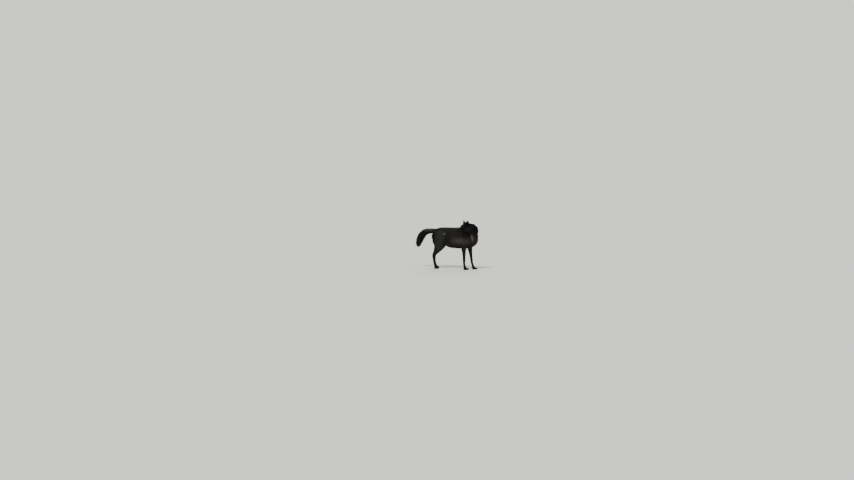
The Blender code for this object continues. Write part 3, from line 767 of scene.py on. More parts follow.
@dataclass(frozen=True)
class Markings:
    """The colours of the animal's coat over its whole body, with painted light and shade in some marks, the
    same on the skin and on the tufts.
    """

    flank: Rgb = (0.0205, 0.0196, 0.0186)
    mottling: float = 0.55  # the most of a lighter tone that the flank's mottling takes
    mottled: float = 1.9  # how many times as light that tone is
    lower_leg: Rgb = (0.02, 0.015, 0.0115)
    leg_heights: Pair = (0.4, 0.24)  # where that colour begins and is full
    leg_share: float = 0.85
    grizzle: Rgb = (0.058, 0.056, 0.053)
    marks: tuple[Mark, ...] = (
        Mark((-0.06, 0.0, 0.795), (0.46, 0.12, 0.075), (0.034, 0.0335, 0.032), 0.75, 0.45),
        Mark((0.13, 0.12, 0.54), (0.19, 0.09, 0.058), (0.09, 0.083, 0.082), 0.8, 0.5, True, 0.04, 0.7),
        Mark((-0.02, 0.0, 0.415), (0.24, 0.14, 0.045), (0.012, 0.0105, 0.0105), 0.8, 0.4),
        Mark((-0.29, 0.11, 0.61), (0.08, 0.07, 0.12), (0.056, 0.055, 0.054), 0.65, 0.6, True, 0.06),
        Mark((-0.33, 0.1, 0.44), (0.07, 0.06, 0.07), (0.06, 0.057, 0.057), 0.6, 0.6, True, 0.05),
        Mark((-0.14, 0.1, 0.6), (0.06, 0.08, 0.14), (0.012, 0.012, 0.0115), 0.6, 0.6, True, 0.06),
        # Painted shade: the rear of the rump and thighs, turned away from the light, painted near black
        Mark((-0.48, 0.0, 0.59), (0.068, 0.32, 0.14), (0.002, 0.0019, 0.0021), 1.0, 0.3),
        Mark((0.345, -0.03, 0.79), (0.17, 0.17, 0.145), (0.0042, 0.003, 0.0034), 0.95, 0.3),
        Mark((0.385, 0.0, 0.58), (0.075, 0.1, 0.12), (0.042, 0.033, 0.023), 0.7, 0.45),
        # Painted shade: the hanging part of the tail darker, away from the light from above
        Mark((-0.66, 0.0, 0.6), (0.2, 0.1, 0.24), (0.0065, 0.0064, 0.0052), 0.92, 0.2),
        # Painted light: the top of the tail lighter, where light from above falls on it
        Mark((-0.58, 0.0, 0.735), (0.15, 0.06, 0.045), (0.09, 0.091, 0.088), 0.9, 0.5, ragged=0.04),
        Mark((-0.215, -0.115, 0.664), (0.022, 0.03, 0.02), (0.21, 0.21, 0.21), 0.8, 0.7, False, 0.03, 0.9),
        Mark((0.347, -0.087, 0.642), (0.024, 0.038, 0.054), (0.27, 0.215, 0.19), 0.95, 0.45, False,
             0.05, 0.8),
        Mark((0.354, -0.072, 0.57), (0.019, 0.032, 0.045), (0.28, 0.22, 0.19), 0.9, 0.45, False, 0.05, 0.8),
        Mark((0.405, 0.0, 0.56), (0.03, 0.024, 0.065), (0.15, 0.12, 0.105), 0.7, 0.5, False, 0.05, 0.9),
    )
    # In the head's own frame
    head_marks: tuple[Mark, ...] = (
        Mark((0.12, 0.0, 0.03), (0.21, 0.125, 0.125), (0.005, 0.0053, 0.0051), 0.95, 0.2),
        Mark((0.205, 0.0, -0.01), (0.06, 0.04, 0.032), (0.03, 0.029, 0.028), 0.75, 0.5, False, 0.02, 0.8),
        Mark((0.085, 0.08, -0.04), (0.046, 0.034, 0.036), (0.028, 0.027, 0.025), 0.7, 0.6, True, 0.03, 0.9),
        Mark((0.116, 0.03, 0.048), (0.014, 0.011, 0.012), (0.034, 0.031, 0.027), 0.75, 0.55, True, 0.01, 0.8),
        Mark((0.236, 0.0, -0.056), (0.032, 0.02, 0.014), (0.06, 0.056, 0.052), 0.8, 0.5, False, 0.01, 0.8),
        Mark((0.262, 0.0, 0.01), (0.024, 0.024, 0.022), (0.007, 0.0065, 0.0065), 0.85, 0.4, False, 0.01, 0.4),
    )

    def color(self, nodes: Nodes) -> NodeSocket:
        """The coat's colour at each place.

        Args:
            nodes: The material's nodes.

        Returns:
            The colour.
        """
        noise = nodes.add("ShaderNodeTexNoise", {"Vector": nodes.place, "Scale": 14.0, "Detail": 3.0})
        ragged = nodes.vector("SUBTRACT", noise.outputs["Color"], (0.5, 0.5, 0.5))
        uneven = nodes.steps(nodes.noise(9.0, 4.0, (1.0, 1.0, 1.4)), 0.3, 0.72, 0.0, self.mottling)
        color = nodes.mix(uneven, self.flank, tuple(c * self.mottled for c in self.flank))
        down = nodes.steps(nodes.split(nodes.place)[2], *self.leg_heights, 0.0, self.leg_share)
        color = nodes.mix(down, color, self.lower_leg)
        on_head, tuft = nodes.seen_from(Head().pose()), nodes.attribute("tuft")
        for marks, place in ((self.marks, nodes.place), (self.head_marks, on_head)):
            mirrored = nodes.mirrored(place)
            for mark in marks:
                moved = mirrored if mark.both else place
                moved = nodes.vector("ADD", moved, nodes.scaled(ragged, mark.ragged))
                scaled = nodes.vector("DIVIDE", nodes.vector("SUBTRACT", moved, mark.at), mark.radii)
                mixed = nodes.math("MULTIPLY_ADD", tuft, mark.speckle, -0.45 * mark.speckle)
                off = nodes.math("ADD", nodes.measure("LENGTH", scaled), mixed)
                share = nodes.steps(off, 1 - mark.soft, 1 + mark.soft, mark.strength, 0.0)
                color = nodes.mix(share, color, mark.color)
        return color


@dataclass(frozen=True)
class CoatFinish:
    """Fur: the markings, darker at each tuft's root and grizzled at some tips, with a soft sheen."""

    name: str
    markings: Markings
    root_share: float = 0.45
    tip_share: float = 1.3
    tufts_differ: float = 0.7
    grizzled: float = 0.5
    roughness: float = 0.56
    gloss: float = 0.06
    sheen: float = 0.015

    def make(self) -> Material:
        """The finish as a material.

        Returns:
            The material.
        """
        nodes = Nodes(self.name)
        along, tuft = nodes.attribute("along"), nodes.attribute("tuft")
        shade = nodes.steps(along, 0.0, 0.9, self.root_share, self.tip_share)
        differs = nodes.math("MULTIPLY_ADD", tuft, self.tufts_differ, 1.0 - self.tufts_differ / 2)
        color = nodes.scaled(self.markings.color(nodes), nodes.math("MULTIPLY", shade, differs))
        pale_tip = nodes.math("MULTIPLY", nodes.steps(along, 0.55, 1.0), nodes.steps(tuft, 0.72, 0.92))
        pale_tip = nodes.math("MULTIPLY", pale_tip, self.grizzled)
        nodes.set(base_color=nodes.mix(pale_tip, color, self.markings.grizzle), roughness=self.roughness,
                  specular_ior_level=self.gloss, sheen_weight=self.sheen, sheen_roughness=0.5)
        return nodes.material


@dataclass(frozen=True)
class SkinFinish:
    """The skin beneath the coat: its markings, dark, with the coat's short nap as bump."""

    name: str
    markings: Markings
    dark: Pair = (0.35, 0.75)  # share of the markings' colour between the hairs and on them
    nap_depth: float = 0.002
    roughness: float = 0.8
    gloss: float = 0.08

    def make(self) -> Material:
        """The finish as a material.

        Returns:
            The material.
        """
        nodes = Nodes(self.name)
        nap = nodes.noise(420.0, 2.0, (0.35, 1.0, 0.6))
        color = nodes.scaled(self.markings.color(nodes), nodes.steps(nap, 0.3, 0.7, *self.dark))
        nodes.set(base_color=color, roughness=self.roughness, specular_ior_level=self.gloss)
        nodes.bump(nap, 0.6, self.nap_depth)
        return nodes.material


@dataclass(frozen=True)
class LeatherFinish:
    """Bare skin, as on the nose, lips, lids and pads: dark, pebbled and a little moist."""

    name: str
    color: Rgb
    roughness: float
    pebbles: float  # how fine its pattern is
    depth: float
    gloss: float = 0.18
    worn_color: float = 1.9  # how much lighter it is where it is worn
    worn_roughness: float = 0.18

    def make(self) -> Material:
        """The finish as a material.

        Returns:
            The material.
        """
        nodes = Nodes(self.name)
        cells = nodes.add("ShaderNodeTexVoronoi", {"Vector": nodes.place, "Scale": self.pebbles},
                          feature="SMOOTH_F1")
        cracks = nodes.math("SUBTRACT", 1.0, nodes.steps(cells.outputs["Distance"], 0.05, 0.55))
        worn = nodes.noise(60.0, 4.0)
        pale = tuple(min(1.0, c * self.worn_color) for c in self.color)
        rough = nodes.steps(worn, 0.2, 0.8, self.roughness, self.roughness + self.worn_roughness)
        nodes.set(base_color=nodes.mix(nodes.steps(worn, 0.35, 0.75), self.color, pale), roughness=rough,
                  specular_ior_level=self.gloss)
        nodes.bump(cracks, 0.7, self.depth)
        return nodes.material


@dataclass(frozen=True)
class EyeFinish:
    """A wet amber eye: black pupil, streaked iris, dark rim and dark white."""

    name: str
    middle: Vector
    looks: Vector
    pupil: float = 0.003
    iris: float = 0.0088
    amber: Rgb = (0.2, 0.108, 0.024)
    deep: Rgb = (0.07, 0.031, 0.008)
    rim: Rgb = (0.012, 0.006, 0.004)
    white: Rgb = (0.03, 0.018, 0.014)
    black: Rgb = (0.002, 0.002, 0.002)

    def make(self) -> Material:
        """The finish as a material.

        Returns:
            The material.
        """
        nodes = Nodes(self.name)
        looks = tuple(self.looks)
        offset = nodes.vector("SUBTRACT", nodes.place, tuple(self.middle))
        ahead = nodes.measure("DOT_PRODUCT", offset, looks)
        flat = nodes.vector("SUBTRACT", offset, nodes.scaled(looks, ahead))
        radius = nodes.measure("LENGTH", flat)
        streak = nodes.add("ShaderNodeTexNoise",
                           {"Vector": nodes.vector("NORMALIZE", flat), "Scale": 9.0, "Detail": 4.0})
        color = nodes.mix(nodes.steps(streak.outputs[0], 0.35, 0.65), self.deep, self.amber)
        color = nodes.mix(nodes.steps(radius, self.pupil, self.iris, 0.35, 0.0), color, self.amber)
        color = nodes.mix(nodes.steps(radius, self.iris * 0.82, self.iris), color, self.rim)
        color = nodes.mix(nodes.steps(radius, self.iris, self.iris * 1.25), color, self.white)
        pupil = nodes.steps(radius, self.pupil * 0.93, self.pupil * 1.07, 1.0, 0.0)
        pupil = nodes.math("MULTIPLY", pupil, nodes.steps(ahead, 0.0, 0.001))
        nodes.set(base_color=nodes.mix(pupil, color, self.black), roughness=0.08,
                  specular_ior_level=0.1, coat_weight=0.08, coat_roughness=0.03)
        return nodes.material


@dataclass(frozen=True)
class HornFinish:
    """A claw: dark horn with fine streaks along it, paler and worn at the tip."""

    name: str
    dark: Rgb = (0.018, 0.015, 0.013)
    streak: Rgb = (0.06, 0.05, 0.042)
    tip: Rgb = (0.085, 0.072, 0.06)

    def make(self) -> Material:
        """The finish as a material.

        Returns:
            The material.
        """
        nodes = Nodes(self.name)
        streaks = nodes.noise(260.0, 3.0, (0.2, 1.0, 1.0))
        color = nodes.mix(nodes.steps(streaks, 0.35, 0.7), self.dark, self.streak)
        worn = nodes.steps(nodes.attribute("along"), 0.55, 1.0, 0.0, 0.6)
        nodes.set(base_color=nodes.mix(worn, color, self.tip), roughness=0.42, specular_ior_level=0.22)
        nodes.bump(streaks, 0.35, 0.0004)
        return nodes.material


@dataclass(frozen=True)
class PlainFinish:
    """The floor: pale and even, with a trace of unevenness."""

    name: str
    color: Rgb
    uneven: float = 0.985

    def make(self) -> Material:
        """The finish as a material.

        Returns:
            The material.
        """
        nodes = Nodes(self.name)
        faint = nodes.steps(nodes.noise(0.6, 3.0), 0.3, 0.7)
        darker = tuple(c * self.uneven for c in self.color)
        nodes.set(base_color=nodes.mix(faint, self.color, darker), roughness=0.9)
        return nodes.material


# The animal


@dataclass
class Head:
    """The head's own frame and forms."""

    length: float = 0.27
    yaw: float = math.radians(-123)
    pitch: float = math.radians(10)
    nose_at: Triple = (0.128, -0.361, 0.776)
    face_depth: float = 0.0015  # of coat on the muzzle and round the eyes
    back_depth: float = 0.006  # of coat at the back of the skull
    fade: float = 1.6  # how many times sooner than at the nose the depth is the face's
    # What the sides lie further in than that, from the back of the skull to the nose
    narrow: tuple[float, ...] = (0.0, 0.0, 0.0, 0.001, 0.003, 0.004, 0.004, 0.004, 0.003, 0.001)
    jaw_narrow: tuple[float, ...] = (0.003, 0.007, 0.008, 0.007, 0.003)
    humps: tuple = ((CHEEK, 0.008), (BROW, 0.001), (CHEEKBONE, 0.001))  # each with its coat's depth

    def pose(self) -> Matrix:
        """The matrix from the head's frame to the modelling axes.

        Returns:
            The matrix.
        """
        turn = Matrix.Rotation(self.yaw, 4, "Z") @ Matrix.Rotation(self.pitch, 4, "Y")
        forward = turn.to_3x3() @ X_AXIS
        return Matrix.Translation(Vector(self.nose_at) - forward * self.length) @ turn

    def way(self, direction: Sequence[float]) -> Vector:
        """A direction of the head's frame in the modelling axes."""
        return self.pose().to_3x3() @ Vector(direction)

    def forms(self) -> list[BMesh]:
        """The head's flesh in its own frame.

        Returns:
            Its forms.
        """
        last = len(SKULL) - 1
        deeper = self.face_depth - self.back_depth
        depths = [self.back_depth + deeper * min(1.0, self.fade * i / last) for i in range(len(SKULL))]
        skull = thinned(SKULL, depths, self.narrow)
        jaw = thinned(JAW, [self.face_depth] * len(JAW), self.jaw_narrow)
        parts = [loft(through(skull, 4)), loft(through(jaw, 4))]
        for side in Side:
            for (middle, radii), depth in self.humps:
                parts.append(ball(sided(middle, side), [radius - depth for radius in radii]))
        return parts


@dataclass
class Skin:
    """The animal's skin in one piece, a coat's depth inside the solids."""

    head: Head
    body_grain: float = 0.0064
    fine_grain: float = 0.0024
    overlap: float = 0.006  # how far the finer head and feet run into the body
    trunk_depth: float = 0.011
    neck_depths: tuple[float, ...] = (0.012, 0.012, 0.012, 0.012, 0.01, 0.006)
    tail_depths: tuple[float, ...] = (0.01, 0.006, 0.005, 0.004, 0.004, 0.003, 0.002, 0.001)
    leg_depths: tuple[float, ...] = (0.008, 0.008, 0.008, 0.006, 0.004, 0.003, 0.003, 0.0025, 0.002, 0.002)
    neck_from: int = 14  # place of the neck at which the finer head takes it up
    foot_from: int = 5  # station of a leg at which the finer foot takes it up
    cutters: Triple = (0.2, 0.17, 0.3)  # half the depth of the head's cutters, then half the width of each

    def leg(self, limb: Limb) -> list[Station]:
        """The skin's stations down a leg."""
        return thinned(limb.placed(), self.leg_depths)

    def neck(self) -> list[Station]:
        """The skin's stations up the neck."""
        return thinned(NECK, self.neck_depths)

    def atlas(self) -> Plane:
        """Where the head is parted from the neck, with the direction toward the head."""
        return self.head.pose() @ Vector((0.014, 0, 0)), section_frame(NECK, len(NECK) - 1)[3]

    def levels(self) -> Triple:
        """The heights at which a leg ends downward, its foot ends upward and its foot ends downward."""
        return ANKLE - self.overlap, ANKLE + self.overlap, PAD_LIFT

    def ends(self) -> list[Plane]:
        """The planes at which forms of the skin end inside one another."""
        at, ahead = self.atlas()
        return [(at + ahead * self.overlap, ahead), (at - ahead * self.overlap, ahead),
                *((Vector((0, 0, height)), Z_AXIS) for height in self.levels())]

    def body(self) -> Object:
        """The trunk, neck, tail and legs, with the head roughly.

        Returns:
            The object.
        """
        parts = [
            loft(through(thinned(TRUNK, [self.trunk_depth] * len(TRUNK)), 4)),
            loft(through(self.neck(), 5)),
            loft(through(thinned(TAIL, self.tail_depths), 5)),
        ]
        parts += [loft(through(self.leg(limb), 4), side=Y_AXIS) for limb in LIMBS]
        parts += [moved(form, self.head.pose()) for form in self.head.forms()]
        made = joined(parts, "body")
        melt(made, self.body_grain, 5)
        return made

    def face(self) -> Object:
        """The head and the top of the neck, finely.

        Returns:
            The object.
        """
        pose = self.head.pose()
        neck = moved(loft(through(self.neck(), 5)[self.neck_from:]), pose.inverted())
        made = joined([*self.head.forms(), neck], "face", pose)
        melt(made, self.fine_grain, 5)
        return made

    def foot(self, limb: Limb) -> Object:
        """A paw with its ankle, finely.

        Args:
            limb: Its leg.

        Returns:
            The object.
        """
        parts = [loft(through(self.leg(limb)[self.foot_from:], 4), side=Y_AXIS), *Paw(limb).forms()]
        made = joined(parts, limb.name)
        melt(made, self.fine_grain * 0.9, 2)
        return made

    @staticmethod
    def slab(height: float, way: int) -> Object:
        """A level block for cutting with, from a height up where way is 1 and down where it is -1."""
        return block(Vector((0, 0, height + 0.5 * way)), (X_AXIS, Y_AXIS, Z_AXIS), (1.0, 1.0, 0.5))

    def build(self) -> Object:
        """The whole skin.

        Returns:
            The skin in the modelling axes, unwrapped.
        """
        at, ahead = self.atlas()
        across = Z_AXIS.cross(ahead).normalized()
        axes = (ahead, across, ahead.cross(across))
        deep, narrow, broad = self.cutters
        beyond = block(at + ahead * (deep + self.overlap), axes, (deep, narrow, narrow))
        before = block(at - ahead * (deep + self.overlap), axes, (deep, broad, broad))
        low, high, floor = (self.slab(height, way) for height, way in zip(self.levels(), (-1, 1, -1)))
        whole, face = self.body(), self.face()
        feet = [self.foot(limb) for limb in LIMBS]
        cuts = [(whole, beyond), (whole, low), (face, before)]
        cuts += [(foot, cutter) for foot in feet for cutter in (high, floor)]
        for item, cutter in cuts:
            cut_away(item, cutter)
        bm = bmesh.new()
        for part in (whole, face, *feet):
            bm.from_mesh(part.data)
        remove(beyond, before, low, high, floor, whole, face, *feet)
        made = object_of(bm, "skin")
        unwrap(made)
        return made


PAD_LIFT = 0.0025  # how far the fur of a paw stays off the floor
PAD_HIGH = 0.02
PAD_RADII = (0.034, 0.037, 0.021)
TOES = ((-0.031, 0.02, 0.028), (-0.012, 0.039, 0.031), (0.012, 0.039, 0.031), (0.031, 0.02, 0.028))
TOE_HIGH, TOE_BREADTH, TOE_RISE = 0.0155, 0.014, 0.0185
TOE_SPREAD = 6.0
CLAW_LONG, CLAW_THICK, CLAW_DROP = 0.018, 0.0042, 0.01
CLAW_BACK, CLAW_UP = 0.01, 0.003
CLAW_RINGS, CLAW_SIDES = 9, 12
# Lobes of the bare pad of the heel: along and across from the paw's middle, then half the length and breadth
HEEL_BACK = 0.004
HEEL_LOBES = ((0.012, 0.0, 0.017, 0.024), (-0.01, 0.011, 0.013, 0.012), (-0.01, -0.011, 0.013, 0.012))
TOE_LOBE = (0.0175, 0.0112)
BARE_HIGH, BARE_RISE = 0.006, 0.0085
BARE_FLAT = 0.0012  # below this height a bare pad lies flat on the floor


@dataclass
class Paw:
    """A paw: its flesh, its toes' claws and its bare pads."""

    limb: Limb
    coat: float = 0.0015

    def middle(self) -> Vector:
        """The place of the paw on the floor."""
        return Vector((*self.limb.placed()[-1][:2], 0.0))

    def toes(self) -> list[tuple[Vector, Matrix, float]]:
        """The paw's toes.

        Returns:
            Each toe's middle, turn and length.
        """
        size = self.limb.size
        made = []
        for across, along, long in TOES:
            turn = Matrix.Rotation(across * TOE_SPREAD, 4, "Z")
            made.append((self.middle() + Vector((along * size, across * size, TOE_HIGH)), turn, long * size))
        return made

    def forms(self) -> list[BMesh]:
        """The paw's flesh.

        Returns:
            Its forms.
        """
        size, coat = self.limb.size, self.coat
        long, broad, tall = PAD_RADII
        radii = (long * size - coat, broad * size - coat, tall - coat)
        parts = [ball(self.middle() + Z_AXIS * PAD_HIGH, radii)]
        for middle, turn, length in self.toes():
            radii = (length - coat, TOE_BREADTH * size - coat, TOE_RISE - coat)
            parts.append(ball(middle, radii, turn))
        return parts

    def claws(self) -> list[BMesh]:
        """The paw's claws, each curved forward and down from its toe.

        Returns:
            Their forms.
        """
        size = self.limb.size
        made = []
        for (middle, turn, _), (_, _, long) in zip(self.toes(), TOES):
            ahead = turn.to_3x3() @ X_AXIS
            root = middle + ahead * (long - CLAW_BACK) * size + Z_AXIS * CLAW_UP
            stations = []
            for k in range(CLAW_RINGS):
                t = k / (CLAW_RINGS - 1)
                at = root + ahead * (CLAW_LONG * t) - Z_AXIS * (CLAW_DROP * t * t)
                thick = CLAW_THICK * (1.0 - 0.9 * t ** 1.6)
                stations.append((*at, thick * 0.72, thick, thick * 0.85))
            made.append(loft(stations, sides=CLAW_SIDES))
        return made

    def pads(self) -> list[BMesh]:
        """The bare pads under the toes and behind them, flat on the floor.

        Returns:
            Their forms.
        """
        size = self.limb.size
        heel = self.middle() - X_AXIS * HEEL_BACK
        places = [(heel + Vector((along * size, across * size, 0)), Matrix(), (long, broad))
                  for along, across, long, broad in HEEL_LOBES]
        places += [(Vector((middle.x, middle.y, 0.0)), turn, TOE_LOBE) for middle, turn, _ in self.toes()]
        made = []
        for middle, turn, (long, broad) in places:
            pad = ball(middle + Z_AXIS * BARE_HIGH, (long * size, broad * size, BARE_RISE), turn)
            for vert in pad.verts:
                vert.co.z = max(vert.co.z, 0.0)
            made.append(pad)
        return made


@dataclass
class Feet:
    """The claws and pads of all four paws."""

    horn: HornFinish
    leather: LeatherFinish

    def claws(self) -> None:
        """Makes all claws in one piece."""
        made = joined([claw for limb in LIMBS for claw in Paw(limb).claws()], "claws")
        along = np.repeat(np.linspace(0, 1, CLAW_RINGS), CLAW_SIDES)
        number_points(made.data, "along", np.tile(along, len(made.data.vertices) // len(along)))
        hand_over(made, "coat_grey", self.horn.make())

    def pads(self) -> None:
        """Makes all pads in one piece."""
        made = joined([pad for limb in LIMBS for pad in Paw(limb).pads()], "pads")
        melt(made, 0.0024, 2)
        for vert in made.data.vertices:
            if vert.co.z < BARE_FLAT:
                vert.co.z = 0.0
        hand_over(made, "nose_leather", self.leather.make())


# Ears, eyes, nose and mouth

EAR_ROOT = (0.046, 0.043, 0.031)
EAR_LEANS = (-0.16, 0.34, 1.0)
EAR_OPENS = (0.95, 0.31, 0.0)
EAR_TALL = 0.101
EAR_WIDE = 0.037
# Up the ear: the share of its height, that of its width, and the angle that its sheet wraps to each side
EAR_SHEET: tuple[Station, ...] = (
    (0.0, 0.62, 112),
    (0.18, 0.86, 104),
    (0.38, 1.0, 88),
    (0.58, 0.92, 72),
    (0.76, 0.74, 62),
    (0.9, 0.48, 54),
    (1.0, 0.16, 45),
)


@dataclass
class Ear:
    """One upright ear: a cupped sheet with a soft rim."""

    head: Head
    side: Side
    thick: float = 0.0034
    sunk: float = 0.012  # how far its root runs on into the head
    columns: int = 20
    rows: int = 5  # to each station

    def axes(self) -> tuple[Vector, Vector, Vector, Vector]:
        """The ear's frame.

        Returns:
            Its root and its directions up, open and across, in the head's frame.
        """
        up = sided(EAR_LEANS, self.side).normalized()
        opens = sided(EAR_OPENS, self.side)
        opens = (opens - up * opens.dot(up)).normalized()
        return sided(EAR_ROOT, self.side), up, opens, up.cross(opens)

    def build(self) -> Object:
        """The ear's sheet, without its fur.

        Returns:
            The ear in the modelling axes, unwrapped.
        """
        root, up, opens, across = self.axes()
        bm = bmesh.new()
        rows = []
        for height, width, wrap in through([(-self.sunk / EAR_TALL, 0.55, 112.0), *EAR_SHEET], self.rows):
            half = math.radians(wrap)
            radius = EAR_WIDE * width / math.sin(min(half, math.pi / 2))
            middle = root + up * (EAR_TALL * height) + opens * (radius * math.cos(half) * 0.5)
            row = []
            for k in range(self.columns + 1):
                angle = half * (2 * k / self.columns - 1)
                offset = across * (radius * math.sin(angle)) - opens * (radius * math.cos(angle))
                row.append(bm.verts.new(middle + offset))
            rows.append(row)
        bridge(bm, rows, around=False)
        made = object_of(moved(bm, self.head.pose()), f"ear_{self.side.word}_shell")
        modify(made, "SOLIDIFY", thickness=self.thick, offset=0.0)
        modify(made, "SMOOTH", factor=0.5, iterations=2)
        apply_modifiers(made)
        unwrap(made)
        return made


@dataclass
class Eye:
    """One eye: the ball in its solid's place, and both lids as a rim that hugs it."""

    head: Head
    side: Side
    radius: float = 0.013
    faces: Triple = (0.72, 0.66, 0.06)  # the way its opening faces
    gaze: Triple = (0.8, 0.59, 0.03)
    cornea: float = 0.0009
    cornea_from: float = 0.8  # cosine of the angle at which it begins
    slant: float = math.radians(24)
    long: float = 0.0124
    tall: float = 0.0068
    lid: float = 0.0013  # thickness of a lid over the ball
    gap: float = 0.0003  # between the lids and the ball
    tips: Pair = (0.12, 0.26)  # share by which the outer and the inner corner are drawn out
    arches: Pair = (0.96, 0.82)  # of the upper and the lower lid
    bare: Triple = (0.004, 0.013, 0.014)  # a hold's place ahead of it, radius and short fur beyond
    corners: int = 40
    rings: int = 7

    def middle(self) -> Vector:
        """The ball's middle in the modelling axes, read from its solid."""
        low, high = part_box(f"eye_{self.side.word}")
        return (Vector(low) + Vector(high)) / 2 - ORIGIN

    def looks(self) -> Vector:
        """Its line of sight in the modelling axes."""
        return self.head.way(sided(self.gaze, self.side).normalized())

    def opens(self) -> Vector:
        """The way its opening faces in the modelling axes."""
        return self.head.way(sided(self.faces, self.side).normalized())

    def hold(self) -> Hold:
        """What keeps fur off it."""
        ahead, radius, short = self.bare
        return Hold(self.middle() + self.opens() * ahead, radius, short)

    def ball(self) -> Object:
        """The eyeball, with its cornea a little forward.

        Returns:
            The ball.
        """
        looks, middle = self.looks(), self.middle()
        turn = looks.to_track_quat("Z", "Y").to_matrix().to_4x4()
        bm = ball(middle, [self.radius] * 3, turn, rings=24)
        for vert in bm.verts:
            ahead = (vert.co - middle).normalized().dot(looks)
            if ahead > self.cornea_from:
                share = (ahead - self.cornea_from) / (1 - self.cornea_from)
                vert.co += looks * self.cornea * share ** 0.8
        return object_of(bm, f"eye_{self.side.word}_ball")

    def lids(self) -> Object:
        """Both lids: a thin dome round the almond-shaped opening.

        Returns:
            The lids.
        """
        looks, middle = self.opens(), self.middle()
        outer = self.head.way(Z_AXIS).cross(looks).normalized() * self.side.value
        up = looks.cross(outer) * self.side.value
        long = outer * math.cos(self.slant) + up * math.sin(self.slant)
        tall = up * math.cos(self.slant) - outer * math.sin(self.slant)
        reach = self.radius + self.lid
        bm = bmesh.new()
        sheets: list[list] = [[], []]
        for sheet, lift in zip(sheets, (self.lid, 0.0)):
            shell = self.radius + self.gap + lift
            for j in range(self.rings):
                ring = []
                for k in range(self.corners):
                    angle = 2 * math.pi * k / self.corners
                    c, s = math.cos(angle), math.sin(angle)
                    pointed = 1.0 + self.tips[0 if c > 0 else 1] * abs(c) ** 5
                    narrow = self.arches[0 if s > 0 else 1] * (1.0 - 0.25 * abs(c))
                    opening = long * (self.long * c * pointed) + tall * (self.tall * s * narrow)
                    offset = opening.lerp((long * c + tall * s) * (reach * 0.985), j / (self.rings - 1))
                    offset *= 1.0 if offset.length < reach * 0.99 else reach * 0.99 / offset.length
                    depth = math.sqrt(max(shell ** 2 - min(offset.length, shell * 0.999) ** 2, 0.0))
                    ring.append(bm.verts.new(middle + offset + looks * depth))
                sheet.append(ring)
        outside, inside = sheets
        bridge(bm, [*outside, *reversed(inside), outside[0]])
        return object_of(bm, f"lids_{self.side.word}")


@dataclass
class Nose:
    """The bare nose: a broad pad with comma-shaped nostrils and a groove between them."""

    head: Head
    middle: Triple = (0.254, 0.0, 0.006)
    radii: Triple = (0.0158, 0.0172, 0.013)
    blunt: float = 0.0034
    top_heavy: float = 0.12  # share by which it is broader above than in the middle
    groove: Pair = (0.0016, 0.0012)  # depth and half the width
    shallow: Pair = (0.003, 0.3)  # from what height, and to what share of its depth
    nostril: Triple = (0.2665, 0.0078, 0.0058)
    hole: Triple = (0.0066, 0.0042, 0.0037)  # depth and half the breadth and height
    slit: Triple = (0.0036, 0.0058, 0.0014)
    slit_off: Pair = (0.005, 0.0026)  # how far out and down from the hole
    bare: tuple = (((0.262, 0.0, 0.005), 0.013), ((0.255, 0.007, 0.006), 0.0122),
                   ((0.255, -0.007, 0.006), 0.0122))  # middles and radii of what keeps fur off it

    def holds(self) -> list[Hold]:
        """What keeps fur off it."""
        return [Hold(self.head.pose() @ Vector(place), radius, 0.008) for place, radius in self.bare]

    def build(self) -> Object:
        """The nose's pad.

        Returns:
            The nose in the modelling axes.
        """
        middle = Vector(self.middle)
        deep, broad, tall = self.radii
        groove_deep, groove_wide = self.groove
        shallow_from, shallow = self.shallow
        hole_deep, hole_broad, hole_tall = self.hole
        slit_deep, slit_broad, slit_tall = self.slit
        bm = ball(middle, (tall, broad, deep), Matrix.Rotation(math.radians(90), 4, "Y"), rings=40)
        for vert in bm.verts:
            x, y, z = vert.co - middle
            front = max(0.0, x / deep)
            y *= 1.0 + self.top_heavy * (z / tall)
            x -= self.blunt * front ** 3
            share = 1.0 if z < shallow_from else shallow
            x -= groove_deep * math.exp(-(y / groove_wide) ** 2) * front * share
            for side in Side:
                hole = sided(self.nostril, side) - middle
                across, above = y - hole.y, z - hole.z
                near = math.hypot(across / hole_broad, above / hole_tall)
                outward = across - side.value * self.slit_off[0]
                off = math.hypot(outward / slit_broad, (above + self.slit_off[1]) / slit_tall)
                x -= front * (hole_deep * math.exp(-near ** 4) + slit_deep * math.exp(-off ** 2))
            vert.co = middle + Vector((x, y, z))
        return object_of(moved(bm, self.head.pose()), "nose_pad")


MOUTH_FROM, MOUTH_TO = 0.15, 0.252
MOUTH_LOW, MOUTH_RISE = -0.036, 0.01


